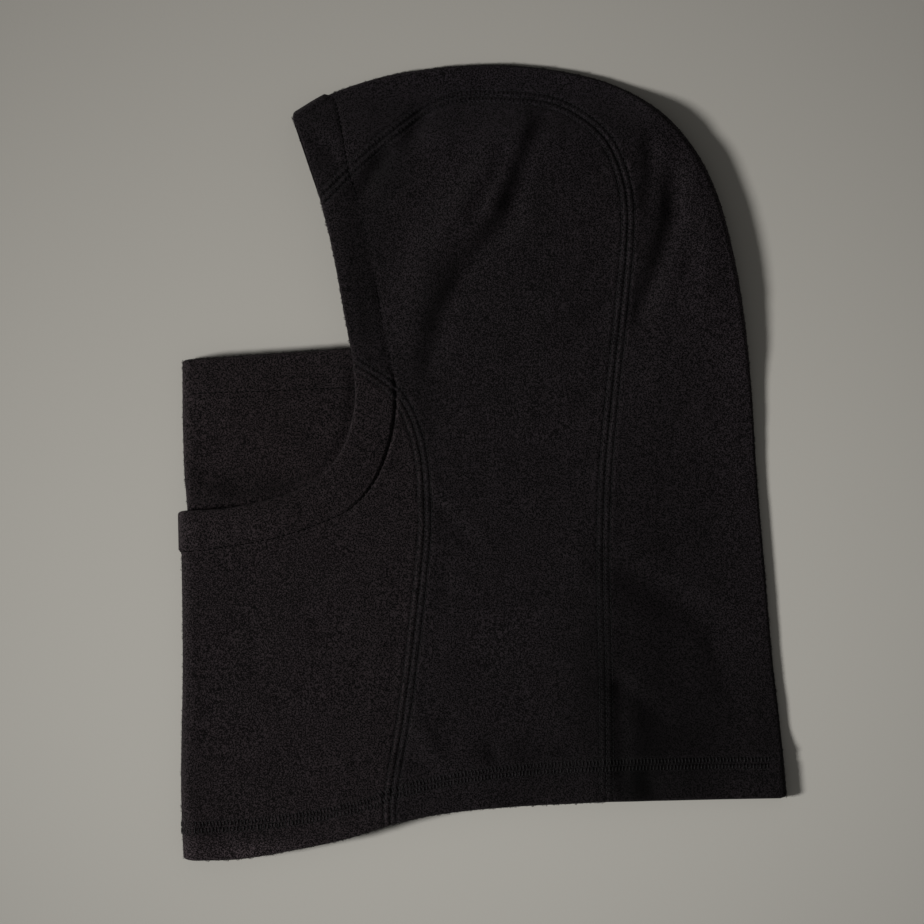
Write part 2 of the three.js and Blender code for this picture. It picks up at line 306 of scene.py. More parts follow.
@dataclass(frozen=True)
class PaintedLightShadeAndTint:
    """A soft area of painted light and shade: the cloth's colour made lighter or darker there, with an
    optional tint.
    """

    middle: Place
    reach: Place
    change: float
    tint: Colour = (1.0, 1.0, 1.0)

    def shade(self, places: Array) -> Array:
        """How much the painted light and shade, and any tint, change each colour at some places.

        Args:
            places: Points on the cloth, seen from above.

        Returns:
            The change of red, green and blue at each.
        """
        x, y = places.T
        share = bell(x - self.middle[0], self.reach[0]) * bell(y - self.middle[1], self.reach[1])
        return self.change * share[:, None] * np.asarray(self.tint)


# The pattern


@dataclass(frozen=True)
class Pattern:
    """The balaclava's cutting and sewing lines as it lies, with both sides on the same outline."""

    brow_edge: Path = ((-93, 169.4), (-87.7, 155.3), (-79, 128.4))
    cheek_edge: Path = ((-79, 128.4), (-73.5, 106.3), (-66.2, 67.1), (-62.9, 49.5))
    chin_edge: Path = (
        (-62.9, 49.5), (-61.8, 32), (-64.2, 18.1), (-69.6, 4.4),
        (-80.4, -7.8), (-94.1, -14.7), (-121.5, -21.6), (-141, -23.2),
    )  # fmt: skip
    princess_seam: Path = (
        (-62.9, 49.5), (-42.1, 34.3), (-31.4, 12), (-27.8, -26),
        (-29.6, -53.4), (-37.7, -122), (-44.6, -164.5), (-44.6, -176.9),
    )  # fmt: skip
    side_neck_edge: Path = ((-44.6, -176.9), (-25.5, -172.5), (2, -169), (60.8, -165.6))
    front_neck_edge: Path = (
        (-44.6, -176.9), (-66.6, -183.8), (-94.1, -189.6), (-118.6, -193.6), (-140, -194.2),
    )  # fmt: skip
    front_fold: Path = (
        (-147.4, -23.2), (-147, -45), (-146.4, -100), (-147.2, -158), (-146, -194.2),
    )  # fmt: skip
    crown_seam: Path = (
        (-79, 128.4), (-62.5, 145), (-43.1, 161.7), (-25.5, 174.6), (-9.3, 179.2),
        (8.8, 179.3), (33.8, 176.4), (48.5, 169.1), (60.8, 157.3), (68.1, 141.6),
        (71.1, 125), (70.6, 102.9), (68.1, 75.5), (64.7, 42.6), (60.3, -6.9),
        (59.3, -51), (60.3, -94.6), (60.8, -135.7), (60.8, -165.6),
    )  # fmt: skip
    crown_fold: Path = (
        (-93, 169.4), (-74.5, 180.4), (-49, 189), (-24, 193.2), (-5, 194.7),
        (14, 194.7), (42, 191.2), (66, 184.4), (88, 171.5), (104, 153.5),
        (114.5, 133), (122, 107), (127.7, 76), (131.6, 40), (134.7, -8.3),
        (138.3, -50), (142, -94), (146.6, -135), (149.3, -164),
    )  # fmt: skip
    crown_corner: float = 8 / 18  # where the side panel's top edge ends and its back edge begins
    mask_top_edge: Path = ((-142, 50.8), (-105, 53.4), (-64.7, 56), (-50, 56.4))
    mask_side: Path = ((-50, 56.4), (-38, 22), (-35, -26), (-41, -84))
    mask_bottom: Path = ((-41, -84), (-142, -84))
    mask_fold: Path = (
        (-146.6, 50.8), (-146.4, 18), (-145.6, -4), (-144.2, -23), (-144, -50), (-144, -84),
    )  # fmt: skip
    face_stitching: Path = (
        (-76.5, 190), (-73, 180.6), (-68.1, 157.8), (-65.2, 141.6), (-59.8, 125),
        (-54.4, 97.5), (-50, 75.5), (-46.1, 53.9), (-42.6, 37.2), (-43.1, 20.6),
        (-46.1, 6.9), (-52.9, -9.3), (-63.7, -21.6), (-80.4, -29.9), (-102.4, -36.8),
        (-126.9, -41.2), (-141.3, -43.3), (-160, -45),
    )  # fmt: skip
    mask_stitching: Path = ((-160, 33.4), (-140, 34), (-105, 35.2), (-65.2, 36.8), (-45, 37))
    neck_stitching: Path = (
        (-160, -179.2), (-140.5, -178), (-110, -176.2), (-80, -172), (-52.9, -165.6),
        (-46.6, -162.4), (-22, -156), (2, -151.9), (30, -149.2), (56.8, -148),
        (100, -147), (147.5, -146.6), (165, -146.6),
    )  # fmt: skip
    fold_inset: float = 6.11

    def opening_chain(self) -> Chain:
        """The free edge round the face and under the chin.

        Returns:
            The edge.
        """
        face = Spline((*self.brow_edge, *self.cheek_edge[1:])).chain(8)
        chin = Spline(self.chin_edge).chain(6)
        end = np.array([[self.front_fold[0][0] - 20.0, self.front_fold[0][1]]])
        return Chain(np.vstack([face, chin[1:], end]))

    def neck_chain(self) -> Chain:
        """The free edge at the neck.

        Returns:
            The edge.
        """
        end = np.array([[self.front_fold[-1][0] - 17.5, self.front_fold[-1][1]]])
        front = Spline(self.front_neck_edge).chain(4)[::-1]
        side = Spline(self.side_neck_edge).chain(5)
        corner = np.array([self.crown_fold[-1]])
        return Chain(np.vstack([end, front, side[1:], corner]))

    def mask_chain(self) -> Chain:
        """The mask's free top edge."""
        end = np.array([[self.mask_fold[0][0] - 17.0, self.mask_fold[0][1]]])
        return Chain(np.vstack([end, Spline(self.mask_top_edge).chain(4)]))


# How the cloth lies


@dataclass(frozen=True)
class Flatlock:
    """The flat seam that joins two panels: two soft ridges with a stitched groove between them."""

    needles: tuple[float, ...] = (-3.2, 0.0, 3.2)
    joint: float = 0.0  # the panels' edges meet in the middle groove
    ridge: float = 1.6
    ridge_width: float = 0.95
    rise: float = 0.37
    groove: float = 0.24
    groove_width: float = 0.45
    swell: float = 0.25
    channel: float = 0.55

    def relief(self, away: Array) -> Array:
        """The cloth's height across the seam.

        Args:
            away: The signed distance from the seam's middle.

        Returns:
            The height that the seam adds.
        """
        far = np.abs(away)
        height = self.rise * bell(far - self.ridge, self.ridge_width) + self.swell * bell(far - 5.0, 1.5)
        height -= self.channel * bell(away, 9.0)
        for needle in self.needles:
            height -= self.groove * bell(away - needle, self.groove_width)
        return height


@dataclass(frozen=True)
class Drape:
    """The heights of the balaclava's plies above the floor."""

    pattern: Pattern
    seam: Flatlock = Flatlock()
    wall: float = 1.6
    hem_plies: float = 1.85
    face_hem: float = 20.0
    neck_hem: float = 17.5
    mask_hem: float = 17.0
    hem_rise: float = 1.4
    body: float = 13.0
    nape: float = 3.5
    nape_in_hood: float = 3.3
    nape_at_hem: float = 2.2
    crown_fold: float = 4.2
    puff: float = 9.0
    gap: float = 0.2
    fold_depth: float = 0.47
    creases: tuple[Crease, ...] = (
        Crease(((23, 170), (-20, 104), (-33, 72)), 12, 3.4),
        Crease(((30, 170), (18, 145), (13, 119), (-9, 97), (-19, 74), (-26, 48)), 6, -2.6),
        Crease(((22, 166), (15, 144), (4, 126)), 4, 1.2),
        Crease(((14, 137), (-6, 104), (-22, 80)), 5, 1.3),
        Crease(((11, 154), (6, 140), (-4, 122)), 4, -1.5),
        Crease(((-29, 172), (-34, 158)), 5, -3.0),
        Crease(((-48, 150), (-57, 134)), 5, -2.8),
        Crease(((-80, 158), (-73, 150)), 5, -1.5),
        Crease(((82, 158), (83, 140), (81, 128)), 4.5, -1.5),
        Crease(((93, 138), (93, 119), (86, 96), (77, 72)), 5.5, -2.9),
        Crease(((104, 152), (110, 128), (112, 100), (108, 80)), 8, 1.4),
        Crease(((62, -55), (64, -150)), 22, 2.4),
        Crease(((58.8, 143.6), (48, 138)), 3.5, -1.1),
        Crease(((66, 122), (52, 117)), 3.5, -1.1),
        Crease(((64, 101), (51, 95)), 3.5, -1.1),
        Crease(((63, 78), (50, 71)), 3.5, -1.1),
        Crease(((57, 66), (43, 60)), 3.5, -0.9),
        Crease(((58, 36), (48, 30)), 3.5, -0.9),
        Crease(((60, 5), (48, -2)), 3.5, -0.8),
        Crease(((65, -50), (112, -78), (128, -108)), 9, -2.4),
        Crease(((65, -105), (84, -122)), 7, -2.2),
        Crease(((67, -108), (69, -158)), 5, -1.6),
        Crease(((78, -151), (84, -162)), 6, -1.6),
        Crease(((-18, -6), (50, -6)), 5, -1.0),
        Crease(((-18, -64), (50, -64)), 5, -1.0),
        Crease(((-25, -18), (-3, -40)), 4, -1.1),
        Crease(((4, -138), (7, -145)), 4, -1.4),
        Crease(((-31, -128), (-25, -137)), 5, 1.3),
        Crease(((-40, -143), (-21, -149)), 4.5, -1.3),
    )
    mask_creases: tuple[Crease, ...] = (
        Crease(((-139, -5), (-127, -8), (-117, -13)), 6, -1.6),
        Crease(((-120, 20), (-98, 12)), 7, 0.8),
    )
    mask_height: float = 10.4
    ripple: Ripple = field(default_factory=lambda: Ripple(CLOTH_SEED))

    NAPE_HILL = (85.0, 50.0)  # middle and width, up the back of the hood
    NAPE_FOOT = (-146.0, -128.0)  # where the nape comes down to the neck hem
    BACK = (46.0, 138.0)  # where the body passes into the nape
    BACK_HILL = (70.0, 50.0, 45.0)  # middle, width and reach of the hood's fuller back
    PUFF_MIDDLE = (10.0, 120.0)
    PUFF_REACH = (110.0, 95.0, 75.0)  # to the face, to the nape, and up and down
    CROWN_RISE = (156.0, 188.0)  # where the crown closes to its fold
    CROWN_BACK = (62.0, 104.0)
    SOFT = 0.3  # how gently the plies come to rest on each other
    SAG = 3.0
    SAG_DEPTH = 40.0  # how far in from the neck hem it sags
    HEM_PITCH = 2.6
    NECK_ROWS = (-3.1, 0.0, 3.1)  # the needle rows of the cover stitch
    CROWN_FLAT = (-20.0, 80.0)  # below the face the crown seam is pressed flatter
    SHARP = ((60.0, 115.0), (205.0, 250.0))  # along the face hem: where its step is crisp
    CHEEK = ((20.0, 60.0), (120.0, 165.0))  # and where it stands up at the cheek

    def fall(self, places: Array) -> Array:
        """The upper side's broad height, with its folds but without hems and seams.

        Args:
            places: Points on the cloth, seen from above.

        Returns:
            The height at each.
        """
        x, y = places.T
        hill, width = self.NAPE_HILL
        nape = self.nape + self.nape_in_hood * bell(y - hill, width)
        nape = nape + self.nape_at_hem * (1.0 - ease(y, *self.NAPE_FOOT))
        hill, width, reach = self.BACK_HILL
        start, end = self.BACK
        body = blend(self.body, nape, ease(x, start + reach * bell(y - hill, width), end))
        along, up = self.PUFF_MIDDLE
        to_face, to_nape, height = self.PUFF_REACH
        aside = bell(x - along, np.where(x > along, to_nape, to_face))
        body = body + self.puff * aside * bell(y - up, height)
        body = body + sum(crease.relief(places) for crease in self.creases)
        return blend(body, self.crown_fold, ease(y, *self.CROWN_RISE) * (1.0 - ease(x, *self.CROWN_BACK)))

    def rest_on(self, least: Array, height: Array) -> Array:
        """A height that comes softly to rest where it would go below the least one."""
        return least + self.SOFT * np.logaddexp(0.0, (height - least) / self.SOFT)

    def face_share(self, places: Array) -> Array:
        """How much of the face hem's second ply lies at some places."""
        away = np.abs(self.pattern.opening_chain().measure(places)[0])
        return 1.0 - ease(away, self.face_hem - 1.0, self.face_hem + 1.0)

    def wall_at(self, places: Array) -> Array:
        """The cloth's thickness, doubled in the hems.

        Args:
            places: Points on the cloth, seen from above.

        Returns:
            The thickness at each.
        """
        away = np.abs(self.pattern.neck_chain().measure(places)[0])
        neck = 1.0 - ease(away, self.neck_hem - 1.0, self.neck_hem + 1.0)
        share = np.maximum(self.face_share(places), neck)
        return self.wall * (1.0 + (self.hem_plies - 1.0) * share)

    def unevenness(self, places: Array) -> Array:
        """The gentle hills and hollows of soft cloth.

        Args:
            places: Points on the cloth, seen from above.

        Returns:
            The height at each.
        """
        x, y = places.T
        broad = 0.3 * self.ripple.at(x, y, 19.0) + 0.18 * self.ripple.at(y, x, 8.3)
        return broad + 0.07 * self.ripple.at(x + 7, y - 3, 3.7)

    def sewn(self, places: Array) -> Array:
        """The relief of seams and hems.

        Args:
            places: Points of the upper side.

        Returns:
            The height that they add.
        """
        lines = self.pattern
        relief = np.zeros(len(places))
        for seam in (lines.crown_seam, lines.princess_seam):
            pressed = 1.0 - 0.55 * ease(-places[:, 1], *self.CROWN_FLAT) * (seam is lines.crown_seam)
            relief += pressed * self.seam.relief(Chain(Spline(seam).chain(8)).measure(places)[0])
        stitched, along = Chain(Spline(lines.face_stitching).chain(8)).measure(places)
        edge, _ = lines.opening_chain().measure(places)
        sharp = 0.25 + 0.75 * within(along, *self.SHARP)
        cheek = within(along, *self.CHEEK)
        relief += (0.6 + 1.2 * cheek) * (1.0 - ease(stitched, -13.0, -0.5))
        relief += (self.hem_rise - 0.6) * sharp * (1.0 - ease(stitched, -1.3, 0.3))
        relief += sharp * (0.35 * bell(stitched - 2.6, 1.5) - 0.42 * bell(stitched - 0.3, 0.75))
        relief -= 0.5 * bell(stitched, 0.8) * (0.6 + 0.4 * np.cos(2 * math.pi * along / self.HEM_PITCH))
        band = ease(edge, 1.0, 5.0) * (1.0 - ease(stitched, -4.0, -0.5))
        relief += band * 0.42 * self.ripple.at(along, edge * 0.35, 3.4) * ease(along, 150, 215)
        relief -= 0.3 * bell(stitched - 1.0, 4.0) * (0.5 + 0.5 * self.ripple.at(along, edge * 0.2, 6.5))
        neck, along = Chain(Spline(lines.neck_stitching).chain(8)).measure(places)
        relief += 0.4 * bell(np.abs(neck) - 5.2, 1.8) - 0.35 * bell(neck, 4.0)
        for row in self.NECK_ROWS:
            relief -= 0.3 * bell(neck - row, 0.55)
        relief += 0.22 * bell(neck, 9.0) * self.ripple.at(along, neck * 0.3, 5.5)
        return relief

    def sag(self, places: Array) -> Array:
        """How far the upper side sinks towards the neck opening.

        Args:
            places: Points on the cloth, seen from above.

        Returns:
            The change of height at each.
        """
        x = places[:, 0]
        away = np.abs(self.pattern.neck_chain().measure(places)[0])
        wave = 0.8 + 0.3 * self.ripple.at(x, x * 0, 31.0)
        inside = within(x, (-146.0, -118.0), (40.0, 100.0))
        return -self.SAG * (1.0 - ease(away, 0.0, self.SAG_DEPTH)) * wave * inside

    def top(self, places: Array) -> Array:
        """The height of the upper side's outer face."""
        height = self.fall(places) + self.sewn(places) + self.unevenness(places) + self.sag(places)
        return self.rest_on(2.0 * self.wall_at(places) + self.gap, height)

    def bottom(self, places: Array) -> Array:
        """The height of the lower side's outer face, which lies on the floor.

        Args:
            places: Points on the cloth, seen from above.

        Returns:
            The height at each.
        """
        lines = self.pattern
        raised = np.zeros(len(places))
        for seam in (lines.crown_seam, lines.princess_seam, lines.face_stitching, lines.neck_stitching):
            away, _ = Chain(Spline(seam).chain(5)).measure(places)
            raised = np.maximum(raised, 0.9 * bell(away, 4.6))
        return raised

    def mask_share(self, places: Array) -> Array:
        """How much of the mask hem's second ply lies at some places."""
        away = np.abs(self.pattern.mask_chain().measure(places)[0])
        return 1.0 - ease(away, self.mask_hem - 1.0, self.mask_hem + 1.0)

    def mask_wall(self, places: Array) -> Array:
        """The mask's thickness, doubled in its hem."""
        return self.wall * (1.0 + (self.hem_plies - 1.0) * self.mask_share(places))

    def mask_top(self, places: Array) -> Array:
        """The height of the mask's upper face.

        Args:
            places: Points of the mask.

        Returns:
            The height at each.
        """
        stitched, along = Chain(Spline(self.pattern.mask_stitching).chain(6)).measure(places)
        edge, _ = self.pattern.opening_chain().measure(places)
        height = self.mask_height + 1.6 * (1.0 - ease(-stitched, -0.8, 1.0))
        height = height - 0.8 * bell(stitched, 0.8) + 0.25 * bell(stitched + 2.2, 1.5)
        from_top = np.abs(self.pattern.mask_chain().measure(places)[0])
        height -= 2.8 * (1.0 - ease(from_top, 0.0, 22.0))
        height -= 0.2 * bell(stitched, 5.0) * self.ripple.at(along, stitched * 0.3, 5.0)
        height -= 4.2 * bell(np.minimum(edge + 0.6, 0.0), 4.2) * (1.0 - ease(places[:, 0], -100.0, -70.0))
        height -= 1.2 * bell(np.minimum(edge + 0.6, 0.0), 3.0)
        height += sum(crease.relief(places) for crease in self.mask_creases) + self.unevenness(places)
        return self.rest_on(self.mask_bottom(places) + 2.0 * self.mask_wall(places) + self.gap, height)

    def mask_bottom(self, places: Array) -> Array:
        """The height of the mask's lower face, which climbs over the front panel's lower ply.

        Args:
            places: Points on the cloth, seen from above.

        Returns:
            The height at each.
        """
        inside, _ = self.pattern.opening_chain().measure(places)
        over_hem, over_panel = 2 * self.wall + 0.4, self.wall + 0.4
        settle = ease(inside, self.face_hem + 8.0, self.face_hem + 26.0)
        return ease(inside, -34.0, -14.0) * blend(over_hem, over_panel, settle)


# Painted light and shade on the cloth: lighter where the light falls fuller, as on the back of the hood and
# along the front neck hem; darker for the shade of creases, of the gap above the chin hem and of the lower
# back of the hood. The last two only add a faint tint: bluer at the crown, warmer on the mask.
PAINTED_LIGHT_SHADE_AND_TINT = (
    PaintedLightShadeAndTint((126, 105), (22, 75), 0.72),
    PaintedLightShadeAndTint((110, 80), (18, 40), 0.2),
    PaintedLightShadeAndTint((68, 112), (12, 25), 0.28),
    PaintedLightShadeAndTint((86, 152), (20, 18), 0.25),
    PaintedLightShadeAndTint((100, 35), (38, 45), 0.26),
    PaintedLightShadeAndTint((18, 170), (24, 12), 0.15),
    PaintedLightShadeAndTint((97, -140), (48, 50), -0.5),
    PaintedLightShadeAndTint((77, -146), (12, 28), -0.3),
    PaintedLightShadeAndTint((53, -92), (16, 42), -0.42),
    PaintedLightShadeAndTint((30, -150), (36, 18), -0.25),
    PaintedLightShadeAndTint((-55, 108), (15, 36), -0.3),
    PaintedLightShadeAndTint((-25, 72), (8, 36), -0.22),
    PaintedLightShadeAndTint((-28, 30), (9, 30), -0.2),
    PaintedLightShadeAndTint((-44, 148), (13, 18), -0.36),
    PaintedLightShadeAndTint((-122, -190), (34, 5.5), 1.2),
    PaintedLightShadeAndTint((-130, -32), (28, 10), 0.28),
    PaintedLightShadeAndTint((-140, 33), (10, 10), 0.18),
    PaintedLightShadeAndTint((118, 80), (16, 42), 0.2),
    PaintedLightShadeAndTint((50, 118), (14, 16), 0.2),
    PaintedLightShadeAndTint((18, -141), (22, 8), -0.18),
    PaintedLightShadeAndTint((77, -156), (10, 10), -0.25),
    PaintedLightShadeAndTint((142, -125), (10, 45), -0.28),
    PaintedLightShadeAndTint((-118, -11), (20, 8), -0.42),
    PaintedLightShadeAndTint((16, 1), (36, 4), -0.14),
    PaintedLightShadeAndTint((-12, -37), (22, 5), -0.13),
    PaintedLightShadeAndTint((30, -65), (26, 5), -0.16),
    PaintedLightShadeAndTint((36, 16), (26, 6), 0.14),
    PaintedLightShadeAndTint((-2, -80), (26, 22), 0.14),
    PaintedLightShadeAndTint((-30, 168), (5, 8), -0.5),
    PaintedLightShadeAndTint((-50, 144), (7, 12), -0.3),
    PaintedLightShadeAndTint((-60, 75), (6, 20), -0.2),
    PaintedLightShadeAndTint((-23, 90), (6, 14), -0.2),
    PaintedLightShadeAndTint((-146, -125), (7, 65), -0.2),
    PaintedLightShadeAndTint((10, 178), (95, 28), 0.05, (-0.4, -0.4, 1.6)),
    PaintedLightShadeAndTint((-105, 10), (50, 50), 0.03, (0.7, -0.5, -1.2)),
)


def paint_light_shade_and_tint(piece: bpy.types.Object) -> None:
    """Paints light and shade, with a faint tint, into a piece as a colour at each of its points.

    Args:
        piece: The piece.
    """
    corners = piece.data.vertices
    places = np.empty(len(corners) * 3, np.float32)
    corners.foreach_get("co", places)
    flat = places.reshape(-1, 3)[:, :2] / MM
    shade = np.ones((len(flat), 4))
    shade[:, :3] += sum(area.shade(flat) for area in PAINTED_LIGHT_SHADE_AND_TINT)
    # the lay colour attribute carries the painted light and shade
    lay = piece.data.attributes.new("lay", "FLOAT_COLOR", "POINT")
    lay.data.foreach_set("color", shade.astype(np.float32).ravel())


# Building meshes


def make_piece(name: str, corners: Array, quads: Array) -> bpy.types.Object:
    """Makes a smooth mesh object.

    Args:
        name: The piece's name.
        corners: Its points, in millimetres.
        quads: Four indices for each face.

    Returns:
        The object.
    """
    mesh = bpy.data.meshes.new(name)
    mesh.vertices.add(len(corners))
    mesh.vertices.foreach_set("co", (corners * MM).astype(np.float32).ravel())
    mesh.loops.add(quads.size)
    mesh.loops.foreach_set("vertex_index", quads.astype(np.int32).ravel())
    mesh.polygons.add(len(quads))
    mesh.polygons.foreach_set("loop_start", np.arange(0, quads.size, 4, dtype=np.int32))
    mesh.polygons.foreach_set("use_smooth", np.ones(len(quads), bool))
    mesh.update(calc_edges=True)
    mesh.validate()
    piece = bpy.data.objects.new(name, mesh)
    bpy.context.scene.collection.objects.link(piece)
    return piece


def finish_piece(piece: bpy.types.Object, finish: "Finish") -> None:
    """Dresses a piece, and lets it ride on the balaclava's body.

    Args:
        piece: The piece.
        finish: Its finish.
    """
    paint_light_shade_and_tint(piece)
    finish.dress(piece)
    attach(piece, BODY)


def grid_quads(number: Array) -> Array:
    """The faces of a grid of numbered points."""
    corners = [number[:-1, :-1], number[1:, :-1], number[1:, 1:], number[:-1, 1:]]
    return np.stack(corners, -1).reshape(-1, 4)


def rim_quads(first: Array, second: Array) -> Array:
    """The faces between two rows of numbered points."""
    return np.stack([first[:-1], first[1:], second[1:], second[:-1]], -1)


def sheet_faces(outer: Array, inner: Array) -> tuple[Array, Array]:
    """Closes a sheet of cloth from the grids of its two faces.

    Args:
        outer: Rows of points of the outer face.
        inner: The points behind them.

    Returns:
        The sheet's points and its faces.
    """
    rows, columns = outer.shape[:2]
    number = np.arange(rows * columns).reshape(rows, columns)
    back = number + rows * columns
    faces = [
        grid_quads(number),
        grid_quads(back)[:, ::-1],
        rim_quads(number[0], back[0]),
        rim_quads(back[-1], number[-1]),
        rim_quads(back[:, 0], number[:, 0]),
        rim_quads(number[:, -1], back[:, -1]),
    ]
    corners = np.vstack([outer.reshape(-1, 3), inner.reshape(-1, 3)])
    quads = np.vstack(faces)
    a, b, c = (corners[quads[:, k]] for k in range(3))
    volume = np.einsum("ij,ij->i", a, np.cross(b, c)).sum()
    return corners, quads if volume > 0 else quads[:, ::-1]


def patch(top: Array, bottom: Array, left: Array, right: Array, u: Array, v: Array) -> Array:
    """Fills a four-sided panel from its edges.

    Args:
        top: Points of the first row.
        bottom: Points of the last row.
        left: The first point of each row.
        right: The last point of each row.
        u: Each column's share of the way across.
        v: Each row's share of the way down.

    Returns:
        Rows of points.
    """
    across, down = u[None, :, None], v[:, None, None]
    top = top + (1 - u)[:, None] * (left[0] - top[0]) + u[:, None] * (right[0] - top[-1])
    bottom = bottom + (1 - u)[:, None] * (left[-1] - bottom[0]) + u[:, None] * (right[-1] - bottom[-1])
    ruled = (1 - down) * top[None] + down * bottom[None]
    ruled = ruled + (1 - across) * left[:, None] + across * right[:, None]
    upper = (1 - across) * top[0] + across * top[-1]
    lower = (1 - across) * bottom[0] + across * bottom[-1]
    return ruled - (1 - down) * upper - down * lower


def raise_to(places: Array, height: Array) -> Array:
    """Puts flat points at heights above the floor."""
    return np.concatenate([places, height.reshape(*places.shape[:-1], 1)], axis=-1)


def over(places: Array, surface: Surface) -> Array:
    """Reads a surface's heights over rows of points."""
    return surface(places.reshape(-1, 2)).reshape(places.shape[:-1])


def round_rim(outer: Array, inner: Array, away: Array, wall: Array) -> tuple[Array, Array]:
    """Rounds a hem's free edge over.

    Args:
        outer: Points of the outer face.
        inner: The points behind them.
        away: Each point's distance from the free edge.
        wall: The thickness there.

    Returns:
        Both faces, drawn together at the edge.
    """
    reach = np.clip(away / (wall / 2), 0.0, 1.0)
    share = np.maximum(np.sqrt(1.0 - (1.0 - reach) ** 2), 0.04)[..., None]
    middle, half = (outer + inner) / 2, (outer - inner) / 2
    return middle + half * share, middle - half * share


def turn_over(
    last: Array, height: Array, wall: Array, direction: Array, depth: Array, base: Array
) -> tuple[Array, Array]:
    """Turns an upper ply round a fold towards the lower one.

    Args:
        last: The upper ply's last point in each row, seen from above.
        height: Its height.
        wall: Its thickness.
        direction: Which way the fold bulges.
        depth: How far it bulges.
        base: The height of the lower ply's outer face.

    Returns:
        The outer and inner points round the fold, row by row.
    """
    angle = np.linspace(0.0, math.pi, 14)[1:-1]
    along, up = np.sin(angle)[None, :, None], np.cos(angle)[None, :]
    middle, half = ((height + base) / 2)[:, None], ((height - base) / 2)[:, None]
    reach = direction[:, None, :] * along
    outer = last[:, None, :] + reach * depth[:, None, None]
    inner = last[:, None, :] + reach * (depth - wall)[:, None, None]
    return (
        raise_to(outer, middle + half * up),
        raise_to(inner, middle + (half - wall[:, None]) * up),
    )


@dataclass
class Panel:
    """One cut panel of fleece."""

    pattern: Pattern
    drape: Drape
    finish: "Fleece"
    node: str = ""
    flat: tuple[float, float] = (0.1, 0.1)
    area: float = 0.01
    held: str = "laid"
    rests_on: tuple[str, ...] = ()
    coarse: float = 1.35

    def plies(self) -> tuple[Array, Array]:
        """The grids of the panel's outer and inner faces."""
        raise NotImplementedError

    def near_free_edge(self, places: Array) -> Array:
        """How far points are from the nearest hem's free edge.

        Args:
            places: Points on the cloth, seen from above.

        Returns:
            The distance of each.
        """
        chains = (self.pattern.opening_chain(), self.pattern.neck_chain())
        flat = places.reshape(-1, 2)
        away = np.minimum(*(np.abs(chain.measure(flat)[0]) for chain in chains))
        return away.reshape(places.shape[:-1])

    def build(self) -> bpy.types.Object:
        """Makes the panel, which stands for its solid.

        Returns:
            The finished piece.
        """
        piece = make_piece(f"{self.node}_cloth", *sheet_faces(*self.plies()))
        finish_piece(piece, self.finish)
        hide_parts(self.node)
        list(self.rests_on)
        log.info("%s: %d faces", piece.name, len(piece.data.polygons))
        return piece


@dataclass
class SidePanel(Panel):
    """A side of the hood, from the face edge and princess seam to the crown seam."""

    ply: Ply = Ply.UPPER

    def plan(self) -> Array:
        """The panel's points as seen from above.

        Returns:
            Rows of points.
        """
        lines, joint = self.pattern, self.drape.seam.joint
        seam, cheek = Spline(lines.crown_seam), Spline(lines.cheek_edge)
        princess, neck = Spline(lines.princess_seam), Spline(lines.side_neck_edge)
        corner = seam.length_to(lines.crown_corner)
        fine = 0.3 if self.ply is Ply.UPPER else self.coarse
        span = 105.0
        across = spread(
            span,
            self.coarse,
            [(-1, 3.9, fine), (17, 23, 3 * fine), (span - 5.9, span + 1, fine)],
        )
        down = spread(cheek.length(), self.coarse, [(-1, 5, fine)])
        reach = princess.length()
        more = spread(
            reach, self.coarse, [(reach - 23, reach - 10, 2.5 * fine), (reach - 2.2, reach + 1, fine)]
        )
        u = across / span
        v = np.concatenate([down, cheek.length() + more[1:]]) / (cheek.length() + reach)
        left = np.vstack([cheek.along(down), princess.shifted(more[1:], joint + 0.05)])
        right = seam.shifted(corner + v * (seam.length() - corner), joint)
        top = seam.shifted(u * corner, joint)
        return patch(top, neck.along(u * neck.length()), left, right, u, v)

    def plies(self) -> tuple[Array, Array]:
        """The grids of the panel's outer and inner faces.

        Returns:
            The outer and the inner grid.
        """
        places = self.plan()
        wall = over(places, self.drape.wall_at)
        upper = self.ply is Ply.UPPER
        height = over(places, self.drape.top if upper else self.drape.bottom)
        inside = height - wall if upper else height + wall
        outer, inner = raise_to(places, height), raise_to(places, inside)
        return round_rim(outer, inner, self.near_free_edge(places), wall)


@dataclass
class FoldedPanel(Panel):
    """A panel that is folded round an edge, with an upper and a lower ply."""

    corner: float = 2.4  # how far its corners are rounded where the fold meets a free edge

    def top(self, places: Array) -> Array:
        """The height of the upper ply's outer face."""
        return self.drape.top(places)

    def bottom(self, places: Array) -> Array:
        """The height of the lower ply's outer face."""
        return self.drape.bottom(places)

    def wall_at(self, places: Array) -> Array:
        """The cloth's thickness."""
        return self.drape.wall_at(places)

    def rim(self, places: Array) -> Array:
        """How far points are from the nearest free edge."""
        return self.near_free_edge(places)

    def folded(self, above: Array, below: Array, direction: Array, depth: Array) -> tuple[Array, Array]:
        """Joins an upper ply, its fold and a lower ply.

        Args:
            above: Rows of points of the upper ply, towards the fold.
            below: Rows of points of the lower ply, towards the fold.
            direction: Which way each row's fold bulges.
            depth: How far it bulges.

        Returns:
            The grids of the outer and inner faces.
        """
        high, low = over(above, self.top), over(below, self.bottom)
        wall, wall_below = over(above, self.wall_at), over(below, self.wall_at)
        away, away_below = self.rim(above), self.rim(below)
        past = 1.0 - np.clip(away[:, -1] / self.corner, 0.0, 1.0)
        depth = depth - self.corner * (1.0 - np.sqrt(1.0 - past**2))
        turn = turn_over(above[:, -1], high[:, -1], wall[:, -1], direction, depth, low[:, -1])
        outer = [raise_to(above, high), turn[0], raise_to(below, low)[:, ::-1]]
        inner = [raise_to(above, high - wall), turn[1], raise_to(below, low + wall_below)[:, ::-1]]
        steps = turn[0].shape[1]
        edge = [away, np.repeat(away[:, -1:], steps, 1), away_below[:, ::-1]]
        thick = [wall, np.repeat(wall[:, -1:], steps, 1), wall_below[:, ::-1]]
        faces = np.concatenate(outer, 1), np.concatenate(inner, 1)
        return round_rim(*faces, np.concatenate(edge, 1), np.concatenate(thick, 1))


